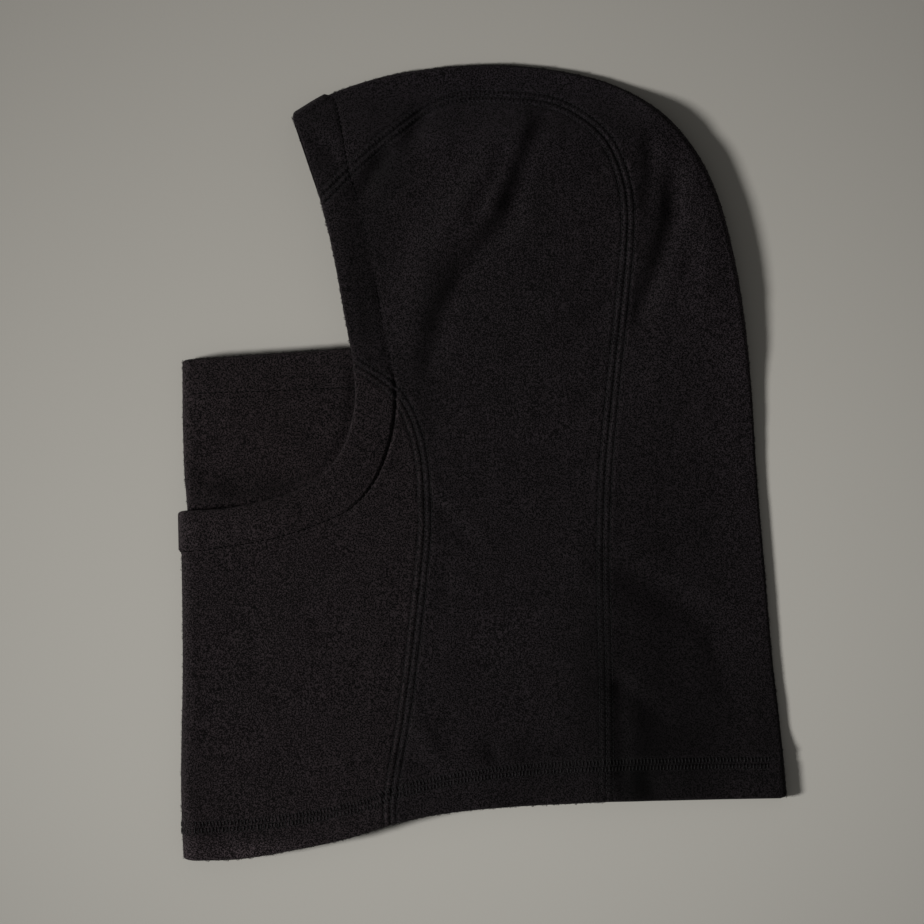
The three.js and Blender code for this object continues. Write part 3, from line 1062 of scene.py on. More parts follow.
@dataclass
class CrownStrip(FoldedPanel):
    """The long strip over the crown and down the nape, folded round the top and back of the head."""

    near_seam: tuple[float, ...] = (
        0, 0.3, 0.6, 0.9, 1.2, 1.5, 1.8, 2.1, 2.4, 2.7, 3.0, 3.4, 3.9, 4.5, 5.2, 6.1, 7.1, 8.2,
    )  # fmt: skip
    columns: int = 46
    lower_columns: int = 20

    def rows(self) -> tuple[Array, Array]:
        """The seam end and the fold end of each row.

        Returns:
            The points at the seam and those at the fold.
        """
        seam, fold = Spline(self.pattern.crown_seam), Spline(self.pattern.crown_fold)
        reach = seam.length()
        zones = [(-1, 4, 0.5), (22, 32, 0.8), (reach - 23, reach - 10, 0.8), (reach - 2.4, reach + 1, 0.4)]
        distances = spread(reach, self.coarse * 1.1, zones)
        share = seam.shares(distances)
        return seam.shifted(distances, self.drape.seam.joint + 0.05), fold.at(share)

    def plies(self) -> tuple[Array, Array]:
        """The grids of the panel's outer and inner faces.

        Returns:
            The outer and the inner grid.
        """
        start, fold = self.rows()
        direction = unit(fold - start)
        rise = self.drape.hem_rise * self.drape.face_share(fold)
        depth = np.maximum(0.32 * self.drape.fall(fold), 1.05 * self.drape.wall_at(fold))
        width = np.linalg.norm(fold - start, axis=1) - depth
        near = np.asarray(self.near_seam)
        narrow = np.minimum(1.0, 0.5 * width / near[-1])[:, None]
        rest = np.linspace(0.0, 1.0, self.columns + 1)[None, 1:]
        first = near[None] * narrow
        across = np.concatenate([first, blend(first[:, -1:], width[:, None], rest)], 1)
        above = start[:, None] + direction[:, None] * across[..., None]
        share = np.linspace(0.0, 1.0, self.lower_columns)[None]
        below = start[:, None] + direction[:, None] * (share * width[:, None])[..., None]
        return self.folded(above, below, direction, depth + rise)


@dataclass
class FrontPanel(FoldedPanel):
    """The chin and neck panel, folded round the front edge."""

    def plan(self, fine: float, coarse: float) -> Array:
        """One ply's points as seen from above, from the princess seam to the fold.

        Args:
            fine: The step beside the seam.
            coarse: The step elsewhere.

        Returns:
            Rows of points.
        """
        lines = self.pattern
        princess, fold = Spline(lines.princess_seam), Spline(lines.front_fold)
        chin, neck = Spline(lines.chin_edge), Spline(lines.front_neck_edge)
        reach = princess.length()
        zones = [(-1, 2.6, 0.4), (19, 36, 0.5), (reach - 22, reach - 9, 0.8), (reach - 2.4, reach + 1, 0.4)]
        down = spread(reach, self.coarse, zones)
        span = 112.0
        across = spread(span, coarse, [(-1, 5.6, fine)])
        u, v = across / span, down / reach
        left = fold.along(v * fold.length()) + [lines.fold_inset, 0.0]
        right = princess.shifted(down, self.drape.seam.joint)
        top, bottom = chin.along(u * chin.length()), neck.along(u * neck.length())
        return patch(top, bottom, right, left, u, v)

    def plies(self) -> tuple[Array, Array]:
        """The grids of the panel's outer and inner faces.

        Returns:
            The outer and the inner grid.
        """
        above, below = self.plan(0.3, self.coarse), self.plan(3.0, 3.0)
        direction = np.tile([-1.0, 0.0], (len(above), 1))
        rise = self.drape.hem_rise * self.drape.face_share(above[:, -1])
        return self.folded(above, below, direction, self.pattern.fold_inset + rise)


@dataclass
class MaskPanel(FoldedPanel):
    """The nose and mouth panel, folded at the front and standing up behind the chin edge."""

    coarse: float = 1.3

    def fold_depth(self, places: Array) -> Array:
        """How far the fold bulges at some places along it."""
        return self.drape.fold_depth * (self.drape.mask_height - self.bottom(places))

    def plan(self, coarse: float) -> Array:
        """One ply's points as seen from above, from the hidden side to the fold.

        Args:
            coarse: The step across it.

        Returns:
            Rows of points.
        """
        lines = self.pattern
        side, fold = Spline(lines.mask_side), Spline(lines.mask_fold)
        top, bottom = Spline(lines.mask_top_edge), np.asarray(lines.mask_bottom, float)
        reach = fold.length()
        down = spread(reach, self.coarse, [(-1, 2.4, 0.35), (14, 21, 0.7)])
        span = 105.0
        across = spread(span, coarse, [])
        u, v = across / span, down / reach
        places = fold.along(down)
        left = places + self.fold_depth(places)[:, None] * [1.0, 0.0]
        over_top = top.along((1 - u) * top.length())
        below = bottom[0] + (bottom[1] - bottom[0]) * u[:, None]
        return patch(over_top, below, side.along(v * side.length()), left, u, v)

    def top(self, places: Array) -> Array:
        """The height of the mask's upper face."""
        return self.drape.mask_top(places)

    def bottom(self, places: Array) -> Array:
        """The height of the mask's lower face."""
        return self.drape.mask_bottom(places)

    def rim(self, places: Array) -> Array:
        """How far points are from the mask's top edge."""
        away, _ = self.pattern.mask_chain().measure(places.reshape(-1, 2))
        return np.abs(away).reshape(places.shape[:-1])

    def wall_at(self, places: Array) -> Array:
        """The mask's thickness, doubled in its hem."""
        return self.drape.mask_wall(places)

    def plies(self) -> tuple[Array, Array]:
        """The grids of the panel's outer and inner faces.

        Returns:
            The outer and the inner grid.
        """
        above, below = self.plan(self.coarse), self.plan(3.0)
        direction = np.tile([-1.0, 0.0], (len(above), 1))
        return self.folded(above, below, direction, self.fold_depth(above[:, -1]))


# Stitching


@dataclass(frozen=True)
class Ribbon:
    """A line on the cloth that stitches follow, with the way out of the cloth at each point."""

    points: Array
    out: Array
    lay: Array

    def lengths(self) -> Array:
        """The length up to each of its points."""
        steps = np.linalg.norm(np.diff(self.points, axis=0), axis=1)
        return np.concatenate([[0.0], np.cumsum(steps)])

    def read(self, vectors: Array, along: Array) -> Array:
        """Reads vectors that are known at its points, at some distances along it."""
        return np.stack([np.interp(along, self.lengths(), column) for column in vectors.T], -1)

    def place(self, along: Array, aside: Array) -> tuple[Array, Array, Array]:
        """Points on the ribbon.

        Args:
            along: How far along it they are.
            aside: How far to its side.

        Returns:
            The points, the way out of the cloth and how the cloth lies at each.
        """
        step, lengths = 0.6, self.lengths()
        out = unit(self.read(self.out, along))
        ahead = self.read(self.points, np.minimum(along + step, lengths[-1]))
        behind = self.read(self.points, np.maximum(along - step, 0.0))
        side = unit(np.cross(out, ahead - behind))
        here = self.read(self.points, along) + side * aside[..., None]
        return here, out, np.interp(along, lengths, self.lay)


def strands(paths: Array, out: Array, radius: float, sides: int = 5) -> tuple[Array, Array]:
    """Makes short lengths of thread that taper into the cloth.

    Args:
        paths: Points along each thread.
        out: The way out of the cloth at each point.
        radius: The thread's radius.
        sides: How many sides it has.

    Returns:
        The threads' points and faces.
    """
    count, steps = paths.shape[:2]
    along = unit(np.gradient(paths, axis=1))
    side = unit(np.cross(along, out))
    up = np.cross(side, along)
    angle = np.linspace(0.0, 2 * math.pi, sides, endpoint=False)
    ring = side[:, :, None] * np.cos(angle)[:, None] + up[:, :, None] * np.sin(angle)[:, None]
    taper = np.clip(np.sin(np.linspace(0.0, math.pi, steps)) * 2.2, 0.12, 1.0)[None, :, None, None]
    corners = (paths[:, :, None] + ring * radius * taper).reshape(-1, 3)
    number = np.arange(count * steps * sides).reshape(count, steps, sides)
    turned = np.roll(number, -1, axis=2)
    quads = np.stack([number[:, :-1], turned[:, :-1], turned[:, 1:], number[:, 1:]], -1)
    return corners, quads.reshape(-1, 4)


@dataclass
class Stitching:
    """A line of machine stitching: needle rows along it, and bars of thread across them."""

    finish: "Thread"
    name: str
    ribbons: tuple[Ribbon, ...]
    surface: Surface
    rows: tuple[float, ...] = (0.0,)
    pitch: float = 2.2
    radius: float = 0.2
    bars: tuple[tuple[float, float, float, float], ...] = ()  # start along and aside, end along and aside
    bar_radius: float = 0.3
    sunk: float = 0.12  # how deep the needle rows sit
    arch: float = 0.2  # how far they rise between two holes
    bar_sunk: float = 0.16
    bar_arch: float = 0.3
    pressed: float = 0.4  # share of the rise that is left under the cloth's weight
    unevenness: float = 0.12

    def settle(self, ribbon: Ribbon, along: Array, aside: Array, lift: Array) -> tuple[Array, Array]:
        """Lays threads on the cloth.

        Args:
            ribbon: The line they follow.
            along: How far along it each point is.
            aside: How far to its side.
            lift: How far out of the cloth.

        Returns:
            The points and the way out of the cloth at each.
        """
        points, out, lay = ribbon.place(along, aside)
        lift = np.where(lay < 0.99 * Lay.UNDER.value, self.pressed * lift, lift)
        upper = lay > 0.99 * Lay.OVER.value
        if upper.any():
            points[upper, 2] = self.surface(points[upper][:, :2])
        return points + out * lift[..., None], out

    def row_threads(self, ribbon: Ribbon, starts: Array) -> list[tuple[Array, Array, float]]:
        """The threads of the needle rows: their points, the way out, and their radius.

        Args:
            ribbon: The line they follow.
            starts: How far along it each stitch starts.

        Returns:
            Each row's points, the way out at each, and the radius.
        """
        share = np.linspace(0.0, 1.0, 5)
        along = starts[:, None] + self.pitch * (0.08 + 0.86 * share)[None]
        lift = np.broadcast_to(self.arch * np.sin(share * math.pi) - self.sunk, along.shape)
        return [
            (*self.settle(ribbon, along, np.full(along.shape, row), lift), self.radius) for row in self.rows
        ]

    def bar_threads(self, ribbon: Ribbon, starts: Array) -> list[tuple[Array, Array, float]]:
        """The threads that cross between the rows: their points, the way out, and their radius.

        Args:
            ribbon: The line they follow.
            starts: How far along it each stitch starts.

        Returns:
            Each bar's points, the way out at each, and the radius.
        """
        share = np.linspace(0.0, 1.0, 7)
        arch = np.clip(np.sin(share * math.pi) * 2.0, 0.0, 1.0)
        made = []
        for begin, from_side, end, to_side in self.bars:
            along = starts[:, None] + self.pitch * blend(begin, end, share)[None]
            aside = np.broadcast_to(blend(from_side, to_side, share), along.shape)
            lift = np.broadcast_to(self.bar_arch * arch - self.bar_sunk, along.shape)
            made.append((*self.settle(ribbon, along, aside, lift), self.bar_radius))
        return made

    def build(self) -> bpy.types.Object:
        """Makes the stitches as one piece.

        Returns:
            The finished piece.
        """
        corners, quads, count = [], [], 0
        ripple = Ripple(STITCH_SEED)
        for ribbon in self.ribbons:
            starts = np.arange(0.4, ribbon.lengths()[-1] - self.pitch, self.pitch)
            starts = starts + self.unevenness * ripple.at(starts, starts * 0.3, 1.7)
            for paths, out, radius in self.row_threads(ribbon, starts) + self.bar_threads(ribbon, starts):
                points, faces = strands(paths, out, radius)
                corners.append(points)
                quads.append(faces + count)
                count += len(points)
        piece = make_piece(self.name, np.vstack(corners), np.vstack(quads))
        finish_piece(piece, self.finish)
        log.info("%s: %d faces", piece.name, len(piece.data.polygons))
        return piece


@dataclass
class Threads:
    """All the stitching on the balaclava."""

    pattern: Pattern
    drape: Drape
    finish: "Thread"
    hem_finish_with_painted_shade: "Thread"

    def over_ribbon(self, line: Spline, start: float, end: float, ply: Ply) -> Ribbon:
        """A ribbon along a stretch of a line, on one side of the balaclava.

        Args:
            line: The line.
            start: How far along it the ribbon starts.
            end: How far along it ends.
            ply: The side it lies on.

        Returns:
            The ribbon.
        """
        places = line.along(np.arange(start, end, 0.8))
        upper = ply is Ply.UPPER
        height = self.drape.fall(places) if upper else self.drape.bottom(places)
        lay = Lay.OVER if upper else Lay.UNDER
        out = np.tile([0.0, 0.0, float(lay.value)], (len(places), 1))
        return Ribbon(raise_to(places, height), out, np.full(len(places), float(lay.value)))

    def fold_ribbon(self, place: Place, direction: Place, height: float, depth: float) -> Ribbon:
        """A ribbon round a fold.

        Args:
            place: Where the upper ply ends, seen from above.
            direction: Which way the fold bulges.
            height: The upper ply's height there.
            depth: How far the fold bulges.

        Returns:
            The ribbon, from the upper side to the lower.
        """
        share = 0.84  # of the half turn, which ends before the lower ply
        angle = np.linspace(0.0, share * math.pi, 24)
        way = unit(np.asarray(direction, float))
        reach = np.sin(angle)[:, None]
        points = raise_to(np.asarray(place, float) + way * depth * reach, height / 2 * (1 + np.cos(angle)))
        out = raise_to(way * reach * (height / 2), np.cos(angle) * depth)
        return Ribbon(points, unit(out), np.full(len(angle), float(Lay.ROUND.value)))

    def flatlock(self, name: str, seam: Path) -> bpy.types.Object:
        """The four-needle seam along a joint, on both sides of the balaclava.

        Args:
            name: The piece's name.
            seam: The joint.

        Returns:
            The finished piece.
        """
        line = Spline(seam)
        ribbons = tuple(self.over_ribbon(line, 1.2, line.length() - 1.0, ply) for ply in Ply)
        return Stitching(
            self.finish,
            name,
            ribbons,
            self.drape.top,
            rows=self.drape.seam.needles,
            pitch=2.2,
            radius=0.22,
            bars=((0.1, -2.7, 0.3, -0.7), (0.6, 0.7, 0.8, 2.7)),
            bar_radius=0.16,
        ).build()

    def reaches(self, line: Spline, *stops: float) -> list[float]:
        """How far along a line that runs to the right some stops are.

        Args:
            line: The line.
            stops: Where they lie from left to right.

        Returns:
            The distance along it of each.
        """
        shares, lengths = line.table()
        return [float(np.interp(stop, line.at(shares)[:, 0], lengths)) for stop in stops]

    def neck_hem(self) -> bpy.types.Object:
        """The cover stitch that holds the neck hem, right round it.

        Returns:
            The finished piece.
        """
        line = Spline(self.pattern.neck_stitching)
        start, end = self.reaches(line, -141.0, 141.5)
        ribbons = [self.over_ribbon(line, start, end, ply) for ply in Ply]
        for distance, way in ((start, (-1.0, 0.0)), (end, (1.0, 0.03))):
            place = line.along(np.array([distance]))
            height = float(self.drape.top(place)[0])
            ribbons.append(self.fold_ribbon(tuple(place[0]), way, height, self.pattern.fold_inset * 0.97))
        return Stitching(
            self.finish,
            "neck_hem_stitching",
            tuple(ribbons),
            self.drape.top,
            rows=self.drape.NECK_ROWS,
            pitch=1.7,
            radius=0.16,
            bars=((0.1, -3.0, 0.3, -0.2), (0.7, 0.2, 0.5, 3.0)),
            bar_radius=0.22,
        ).build()

    def face_hem(self) -> bpy.types.Object:
        """The single row that holds the hem round the face and under the chin.

        Returns:
            The finished piece.
        """
        line = Spline(self.pattern.face_stitching)
        shares, lengths = line.table()
        points = line.at(shares)
        top, chin = slice(None, len(points) // 3), slice(len(points) // 2, None)
        start = float(np.interp(-176.5, -points[top, 1], lengths[top]))
        end = float(np.interp(141.2, -points[chin, 0], lengths[chin]))
        ribbons = tuple(self.over_ribbon(line, start, end, ply) for ply in Ply)
        place = line.along(np.array([end]))
        height = float(self.drape.top(place)[0])
        turn = self.fold_ribbon(tuple(place[0]), (-1.0, 0.0), height, self.pattern.fold_inset)
        return self.single_row("face_hem_stitching", (*ribbons, turn), self.drape.top)

    def mask_hem(self) -> bpy.types.Object:
        """The single row that holds the mask's hem.

        Returns:
            The finished piece.
        """
        line = Spline(self.pattern.mask_stitching)
        ribbon = self.over_ribbon(line, *self.reaches(line, -142.5, -56.0), Ply.UPPER)
        return self.single_row("mask_hem_stitching", (ribbon,), self.drape.mask_top)

    def single_row(self, name: str, ribbons: tuple[Ribbon, ...], surface: Surface) -> bpy.types.Object:
        """One row of sunk stitches that holds a hem.

        Args:
            name: The piece's name.
            ribbons: The lines that it follows.
            surface: The height of the cloth that it lies on.

        Returns:
            The finished piece.
        """
        row = {"pitch": self.drape.HEM_PITCH, "radius": 0.32, "sunk": -0.02}
        return Stitching(self.hem_finish_with_painted_shade, name, ribbons, surface, **row).build()

    def build(self) -> list[bpy.types.Object]:
        """Makes all the stitching.

        Returns:
            The finished pieces.
        """
        return [
            self.flatlock("crown_seam_stitching", self.pattern.crown_seam),
            self.flatlock("princess_seam_stitching", self.pattern.princess_seam),
            self.neck_hem(),
            self.face_hem(),
            self.mask_hem(),
        ]


@dataclass(frozen=True)
class Edge:
    """An edge of the balaclava that loose fibres stand out from."""

    line: Path
    inside: Place
    folded: bool = False
    mask: bool = False


@dataclass
class EdgeNap:
    """Loose fibres of the nap, standing out from hems and folds."""

    pattern: Pattern
    drape: Drape
    finish: "Fleece"
    spacing: float = 0.12
    reach: float = 0.85
    radius: float = 0.085
    upper_share: float = 0.75  # of the fibres at a cut edge that stand on the upper ply

    def edges(self) -> tuple[Edge, ...]:
        """Every edge, with a point on its inner side.

        Returns:
            The edges.
        """
        lines = self.pattern
        return (
            Edge(lines.crown_fold, (0.0, 20.0), folded=True),
            Edge(lines.front_fold, (0.0, -90.0), folded=True),
            Edge(lines.mask_fold, (0.0, 0.0), folded=True, mask=True),
            Edge(lines.mask_top_edge, (-100.0, -100.0), mask=True),
            Edge(lines.brow_edge, (60.0, 60.0)),
            Edge(lines.cheek_edge, (60.0, 60.0)),
            Edge(lines.chin_edge, (0.0, -150.0)),
            Edge(lines.front_neck_edge, (-60.0, 60.0)),
            Edge(lines.side_neck_edge, (40.0, 60.0)),
        )

    def fibres(self, edge: Edge, chance: np.random.Generator) -> tuple[Array, Array]:
        """The fibres along one edge.

        Args:
            edge: The edge.
            chance: Where the random numbers come from.

        Returns:
            Each fibre's points, and the way up at each.
        """
        line, drape = Spline(edge.line), self.drape
        length = line.length()
        count = int(length / self.spacing)
        along = np.sort(chance.uniform(0.3, length - 0.3, count))
        places = line.along(along)
        ahead = unit(line.along(along + 0.2) - line.along(along - 0.2))
        away = np.stack([ahead[:, 1], -ahead[:, 0]], 1)
        away *= np.sign(np.einsum("ij,ij->i", away, places - np.asarray(edge.inside)))[:, None]
        if edge.mask:
            top, base = drape.mask_top(places), drape.mask_bottom(places)
            wall = drape.mask_wall(places)
        else:
            top, base, wall = drape.top(places), drape.bottom(places), drape.wall_at(places)
        share = chance.uniform(0.2, 0.8, count)
        if edge.folded:
            height = blend(base, top, share)
            inset = drape.fold_depth * (top - base) * (1.0 - np.sqrt(1.0 - (2 * share - 1) ** 2))
        else:
            upper = chance.random(count) < self.upper_share
            height = np.where(upper, top - wall * share, base + wall * share)
            inset = np.zeros(count)
        root = raise_to(places - away * (inset + 0.2)[:, None], height)
        step = np.linspace(0.0, 1.0, 3)[None, :, None]
        clumps = 0.75 + 0.6 * drape.ripple.at(along, along * 0.37, 1.6)
        out = self.reach * clumps * chance.uniform(0.5, 1.1, count)
        tip = np.concatenate([away * out[:, None], 0.25 * chance.normal(size=(count, 1))], 1)
        curl = np.concatenate([ahead, np.zeros((count, 1))], 1) * chance.normal(0.0, 0.35, (count, 1))
        paths = root[:, None] + tip[:, None] * step + curl[:, None] * step**2
        return paths, np.broadcast_to([0.0, 0.0, 1.0], paths.shape)

    def build(self) -> bpy.types.Object:
        """Makes the fibres as one piece.

        Returns:
            The finished piece.
        """
        chance = np.random.default_rng(FIBRE_SEED)
        made = [self.fibres(edge, chance) for edge in self.edges()]
        paths, ups = (np.concatenate(part) for part in zip(*made))
        piece = make_piece("edge_nap", *strands(paths, ups, self.radius, 3))
        finish_piece(piece, self.finish)
        log.info("%s: %d fibres", piece.name, len(paths))
        return piece


# Finishes


class Wiring:
    """Adds and joins the nodes of one material or node group."""

    def __init__(self, tree: bpy.types.NodeTree) -> None:
        """Keeps the tree to work on."""
        self.tree = tree

    def add(self, kind: str, settings: dict[str, object] | None = None, **inputs: Feed) -> bpy.types.Node:
        """Adds a node.

        Args:
            kind: The node's type.
            settings: Its settings.
            inputs: Values or sockets for its inputs, with spaces in their names as underscores.

        Returns:
            The node.
        """
        node = self.tree.nodes.new(kind)
        for name, value in (settings or {}).items():
            setattr(node, name, value)
        for name, value in inputs.items():
            self.feed(node.inputs[name.replace("_", " ")], value)
        return node

    def feed(self, socket: Socket, value: Feed) -> None:
        """Joins a socket to another, or gives it a value.

        Args:
            socket: The socket.
            value: What it is fed.
        """
        if isinstance(value, Socket):
            self.tree.links.new(value, socket)
        else:
            socket.default_value = value

    def maths(self, operation: str, first: Feed, second: Feed, clamp: bool = False) -> Socket:
        """Works out one value from two.

        Args:
            operation: What is worked out.
            first: The first value.
            second: The second value.
            clamp: Whether it is kept between 0 and 1.

        Returns:
            The result.
        """
        node = self.add("ShaderNodeMath", {"operation": operation, "use_clamp": clamp})
        self.feed(node.inputs[0], first)
        self.feed(node.inputs[1], second)
        return node.outputs[0]

    def scaled(self, vector: Feed, factor: Feed) -> Socket:
        """Scales a vector.

        Args:
            vector: The vector.
            factor: How much longer it gets.

        Returns:
            The scaled vector.
        """
        node = self.add("ShaderNodeVectorMath", {"operation": "SCALE"}, Scale=factor)
        self.feed(node.inputs[0], vector)
        return node.outputs[0]

    def noise(self, vector: Socket, scale: float, detail: float, **inputs: Feed) -> Socket:
        """Fine noise at a place.

        Args:
            vector: The place.
            scale: How many lumps there are to a unit.
            detail: How many finer layers it has.
            inputs: Its other values.

        Returns:
            The noise, from 0 to 1.
        """
        node = self.add("ShaderNodeTexNoise", Vector=vector, Scale=scale, Detail=detail, **inputs)
        return node.outputs["Fac"]

    def bump(self, surface: bpy.types.Node, height: Socket, strength: float, depth: float) -> None:
        """Gives a surface shader a bump."""
        bump = self.add("ShaderNodeBump", Height=height, Strength=strength, Distance=depth)
        self.feed(surface.inputs["Normal"], bump.outputs[0])

    def mix(self, share: Socket, first: Colour, second: Colour) -> Socket:
        """Mixes two colours.

        Args:
            share: How much of the second there is.
            first: The first colour.
            second: The second colour.

        Returns:
            The mixed colour.
        """
        node = self.add("ShaderNodeMix", {"data_type": "RGBA"})
        for index, value in ((0, share), (6, (*first, 1.0)), (7, (*second, 1.0))):
            self.feed(node.inputs[index], value)
        return node.outputs[2]

    def laid(self, colour: Socket) -> Socket:
        """Makes a colour lighter or darker by the painted light and shade kept in the lay attribute.

        Args:
            colour: The colour.

        Returns:
            The changed colour.
        """
        lay = self.add("ShaderNodeAttribute", {"attribute_name": "lay"}).outputs["Color"]
        product = self.add("ShaderNodeVectorMath", {"operation": "MULTIPLY"})
        self.feed(product.inputs[0], colour)
        self.feed(product.inputs[1], lay)
        return product.outputs[0]


def new_group(name: str, inputs: dict[str, float], outputs: list[str]) -> tuple[Wiring, Sockets, Sockets]:
    """Starts a node group.

    Args:
        name: The group's name.
        inputs: The names and usual values of its inputs.
        outputs: The names of its outputs.

    Returns:
        The wiring, the sockets to read from and the sockets to fill.
    """
    tree = bpy.data.node_groups.new(name, "ShaderNodeTree")
    for label, value in inputs.items():
        tree.interface.new_socket(label, in_out="INPUT", socket_type="NodeSocketFloat").default_value = value
    for label in outputs:
        tree.interface.new_socket(label, in_out="OUTPUT", socket_type="NodeSocketFloat")
    wiring = Wiring(tree)
    start, end = wiring.add("NodeGroupInput"), wiring.add("NodeGroupOutput")
    return wiring, start.outputs, end.inputs


def nap_group() -> bpy.types.NodeTree:
    """The brushed nap's tufts and fibres, made once.

    Returns:
        A group with the inputs Tuft Size and Fibre Size, in millimetres, and Warp, and the outputs Height
        and Shade.
    """
    name = "Brushed Nap"
    if name in bpy.data.node_groups:
        return bpy.data.node_groups[name]
    values = {"Tuft Size": 0.7, "Fibre Size": 0.3, "Warp": 0.5}
    wire, given, wanted = new_group(name, values, ["Height", "Shade"])
    place = wire.add("ShaderNodeTexCoord").outputs["Object"]
    at_tufts, at_fibres = (
        wire.scaled(place, wire.maths("DIVIDE", 1.0 / MM, given[label]))
        for label in ("Tuft Size", "Fibre Size")
    )
    tufts = wire.noise(at_tufts, 1.0, 2.0, Roughness=0.55, Distortion=given["Warp"])
    fibres = wire.noise(at_fibres, 1.0, 2.0, Roughness=0.6, Distortion=0.8)
    broad = wire.noise(at_tufts, 0.12, 2.0)
    clumps = wire.add(
        "ShaderNodeMapRange", {"interpolation_type": "SMOOTHSTEP"}, Value=tufts, From_Min=0.44, From_Max=0.56
    ).outputs[0]
    height = wire.maths("ADD", wire.maths("MULTIPLY", clumps, 0.8), wire.maths("MULTIPLY", fibres, 0.3))
    wire.feed(wanted["Height"], height)
    spread_out = wire.add("ShaderNodeMapRange", Value=height, From_Min=0.1, From_Max=1.0).outputs[0]
    patches = wire.maths("ADD", 0.85, wire.maths("MULTIPLY", broad, 0.3))
    wire.feed(wanted["Shade"], wire.maths("MULTIPLY", spread_out, patches, clamp=True))
    return wire.tree


def new_material(name: str) -> tuple[bpy.types.Material, Wiring, bpy.types.Node]:
    """Starts a material.

    Args:
        name: Its name.

    Returns:
        The material, its wiring and its surface shader.
    """
    material = bpy.data.materials.new(name)
    material.use_nodes = True
    return material, Wiring(material.node_tree), material.node_tree.nodes["Principled BSDF"]


@dataclass(frozen=True)
class Finish:
    """A finish of the balaclava, between a dark and a light shade."""

    slot: str
    dark: Colour
    light: Colour

    def material_name(self) -> str:
        """What its material is called."""
        return f"{self.slot}_nap"

    def wire_up(self, wire: Wiring, surface: bpy.types.Node) -> None:
        """Makes its look on a new material's surface shader."""
        raise NotImplementedError

    def material(self) -> bpy.types.Material:
        """The material, made once.

        Returns:
            The material.
        """
        name = self.material_name()
        if name not in bpy.data.materials:
            _, wire, surface = new_material(name)
            self.wire_up(wire, surface)
        return bpy.data.materials[name]

    def dress(self, piece: bpy.types.Object) -> None:
        """Puts the finish on a piece."""
        piece.data.materials.clear()
        piece.data.materials.append(self.material())


@dataclass(frozen=True)
class Fleece(Finish):
    """Brushed microfleece, near-black, with a fine mottled nap."""

    sheen: Colour = (0.9, 0.82, 0.86)
    sheen_weight: float = 0.05
    sheen_roughness: float = 0.45
    gloss: float = 0.12
    tuft: float = 0.66
    worn: float = 0.15  # how much less rough the lit tips are
    bump: float = 1.0
    depth: float = 0.0005

    def wire_up(self, wire: Wiring, surface: bpy.types.Node) -> None:
        """Makes the nap, its painted light and shade, its sheen and its bump.

        Args:
            wire: The material's wiring.
            surface: Its surface shader.
        """
        nap = wire.add("ShaderNodeGroup", {"node_tree": nap_group()})
        nap.inputs["Tuft Size"].default_value = self.tuft
        surface.inputs["Specular IOR Level"].default_value = self.gloss
        surface.inputs["Sheen Weight"].default_value = self.sheen_weight
        surface.inputs["Sheen Roughness"].default_value = self.sheen_roughness
        surface.inputs["Sheen Tint"].default_value = (*self.sheen, 1.0)
        colour = wire.mix(nap.outputs["Shade"], self.dark, self.light)
        # the nap's colour times the painted light and shade
        wire.feed(surface.inputs["Base Color"], wire.laid(colour))
        rough = wire.maths("SUBTRACT", 1.0, wire.maths("MULTIPLY", nap.outputs["Shade"], self.worn))
        wire.feed(surface.inputs["Roughness"], rough)
        wire.bump(surface, nap.outputs["Height"], self.bump, self.depth)


@dataclass(frozen=True)
class Thread(Finish):
    """Textured sewing thread, a little shinier than the cloth."""

    slot: str = "thread"
    dark: Colour = (0.0015, 0.0015, 0.002)
    light: Colour = (0.008, 0.0079, 0.0096)
    kind: str = "seam"
    shine: float = 0.3
    sheen_share: float = 0.1
    sheen_roughness: float = 0.4
    bundle: float = 0.5
    filament: float = 0.12
    bump: float = 0.5
    depth: float = 0.0001

    def material_name(self) -> str:
        """What its material is called, apart for each kind of stitching."""
        return f"{self.kind}_{self.slot}_nap"

    def wire_up(self, wire: Wiring, surface: bpy.types.Node) -> None:
        """Makes the thread's twist and its soft shine.

        Args:
            wire: The material's wiring.
            surface: Its surface shader.
        """
        twist = wire.add("ShaderNodeGroup", {"node_tree": nap_group()})
        twist.inputs["Tuft Size"].default_value = self.bundle
        twist.inputs["Fibre Size"].default_value = self.filament
        surface.inputs["Specular IOR Level"].default_value = self.shine
        surface.inputs["Sheen Weight"].default_value = self.sheen_share * self.shine
        surface.inputs["Sheen Roughness"].default_value = self.sheen_roughness
        colour = wire.mix(twist.outputs["Shade"], self.dark, self.light)
        # the thread's colour times the painted light and shade
        wire.feed(surface.inputs["Base Color"], wire.laid(colour))
        rough = wire.maths("SUBTRACT", 0.75, wire.maths("MULTIPLY", twist.outputs["Shade"], 0.2))
        wire.feed(surface.inputs["Roughness"], rough)
        wire.bump(surface, twist.outputs["Height"], self.bump, self.depth)


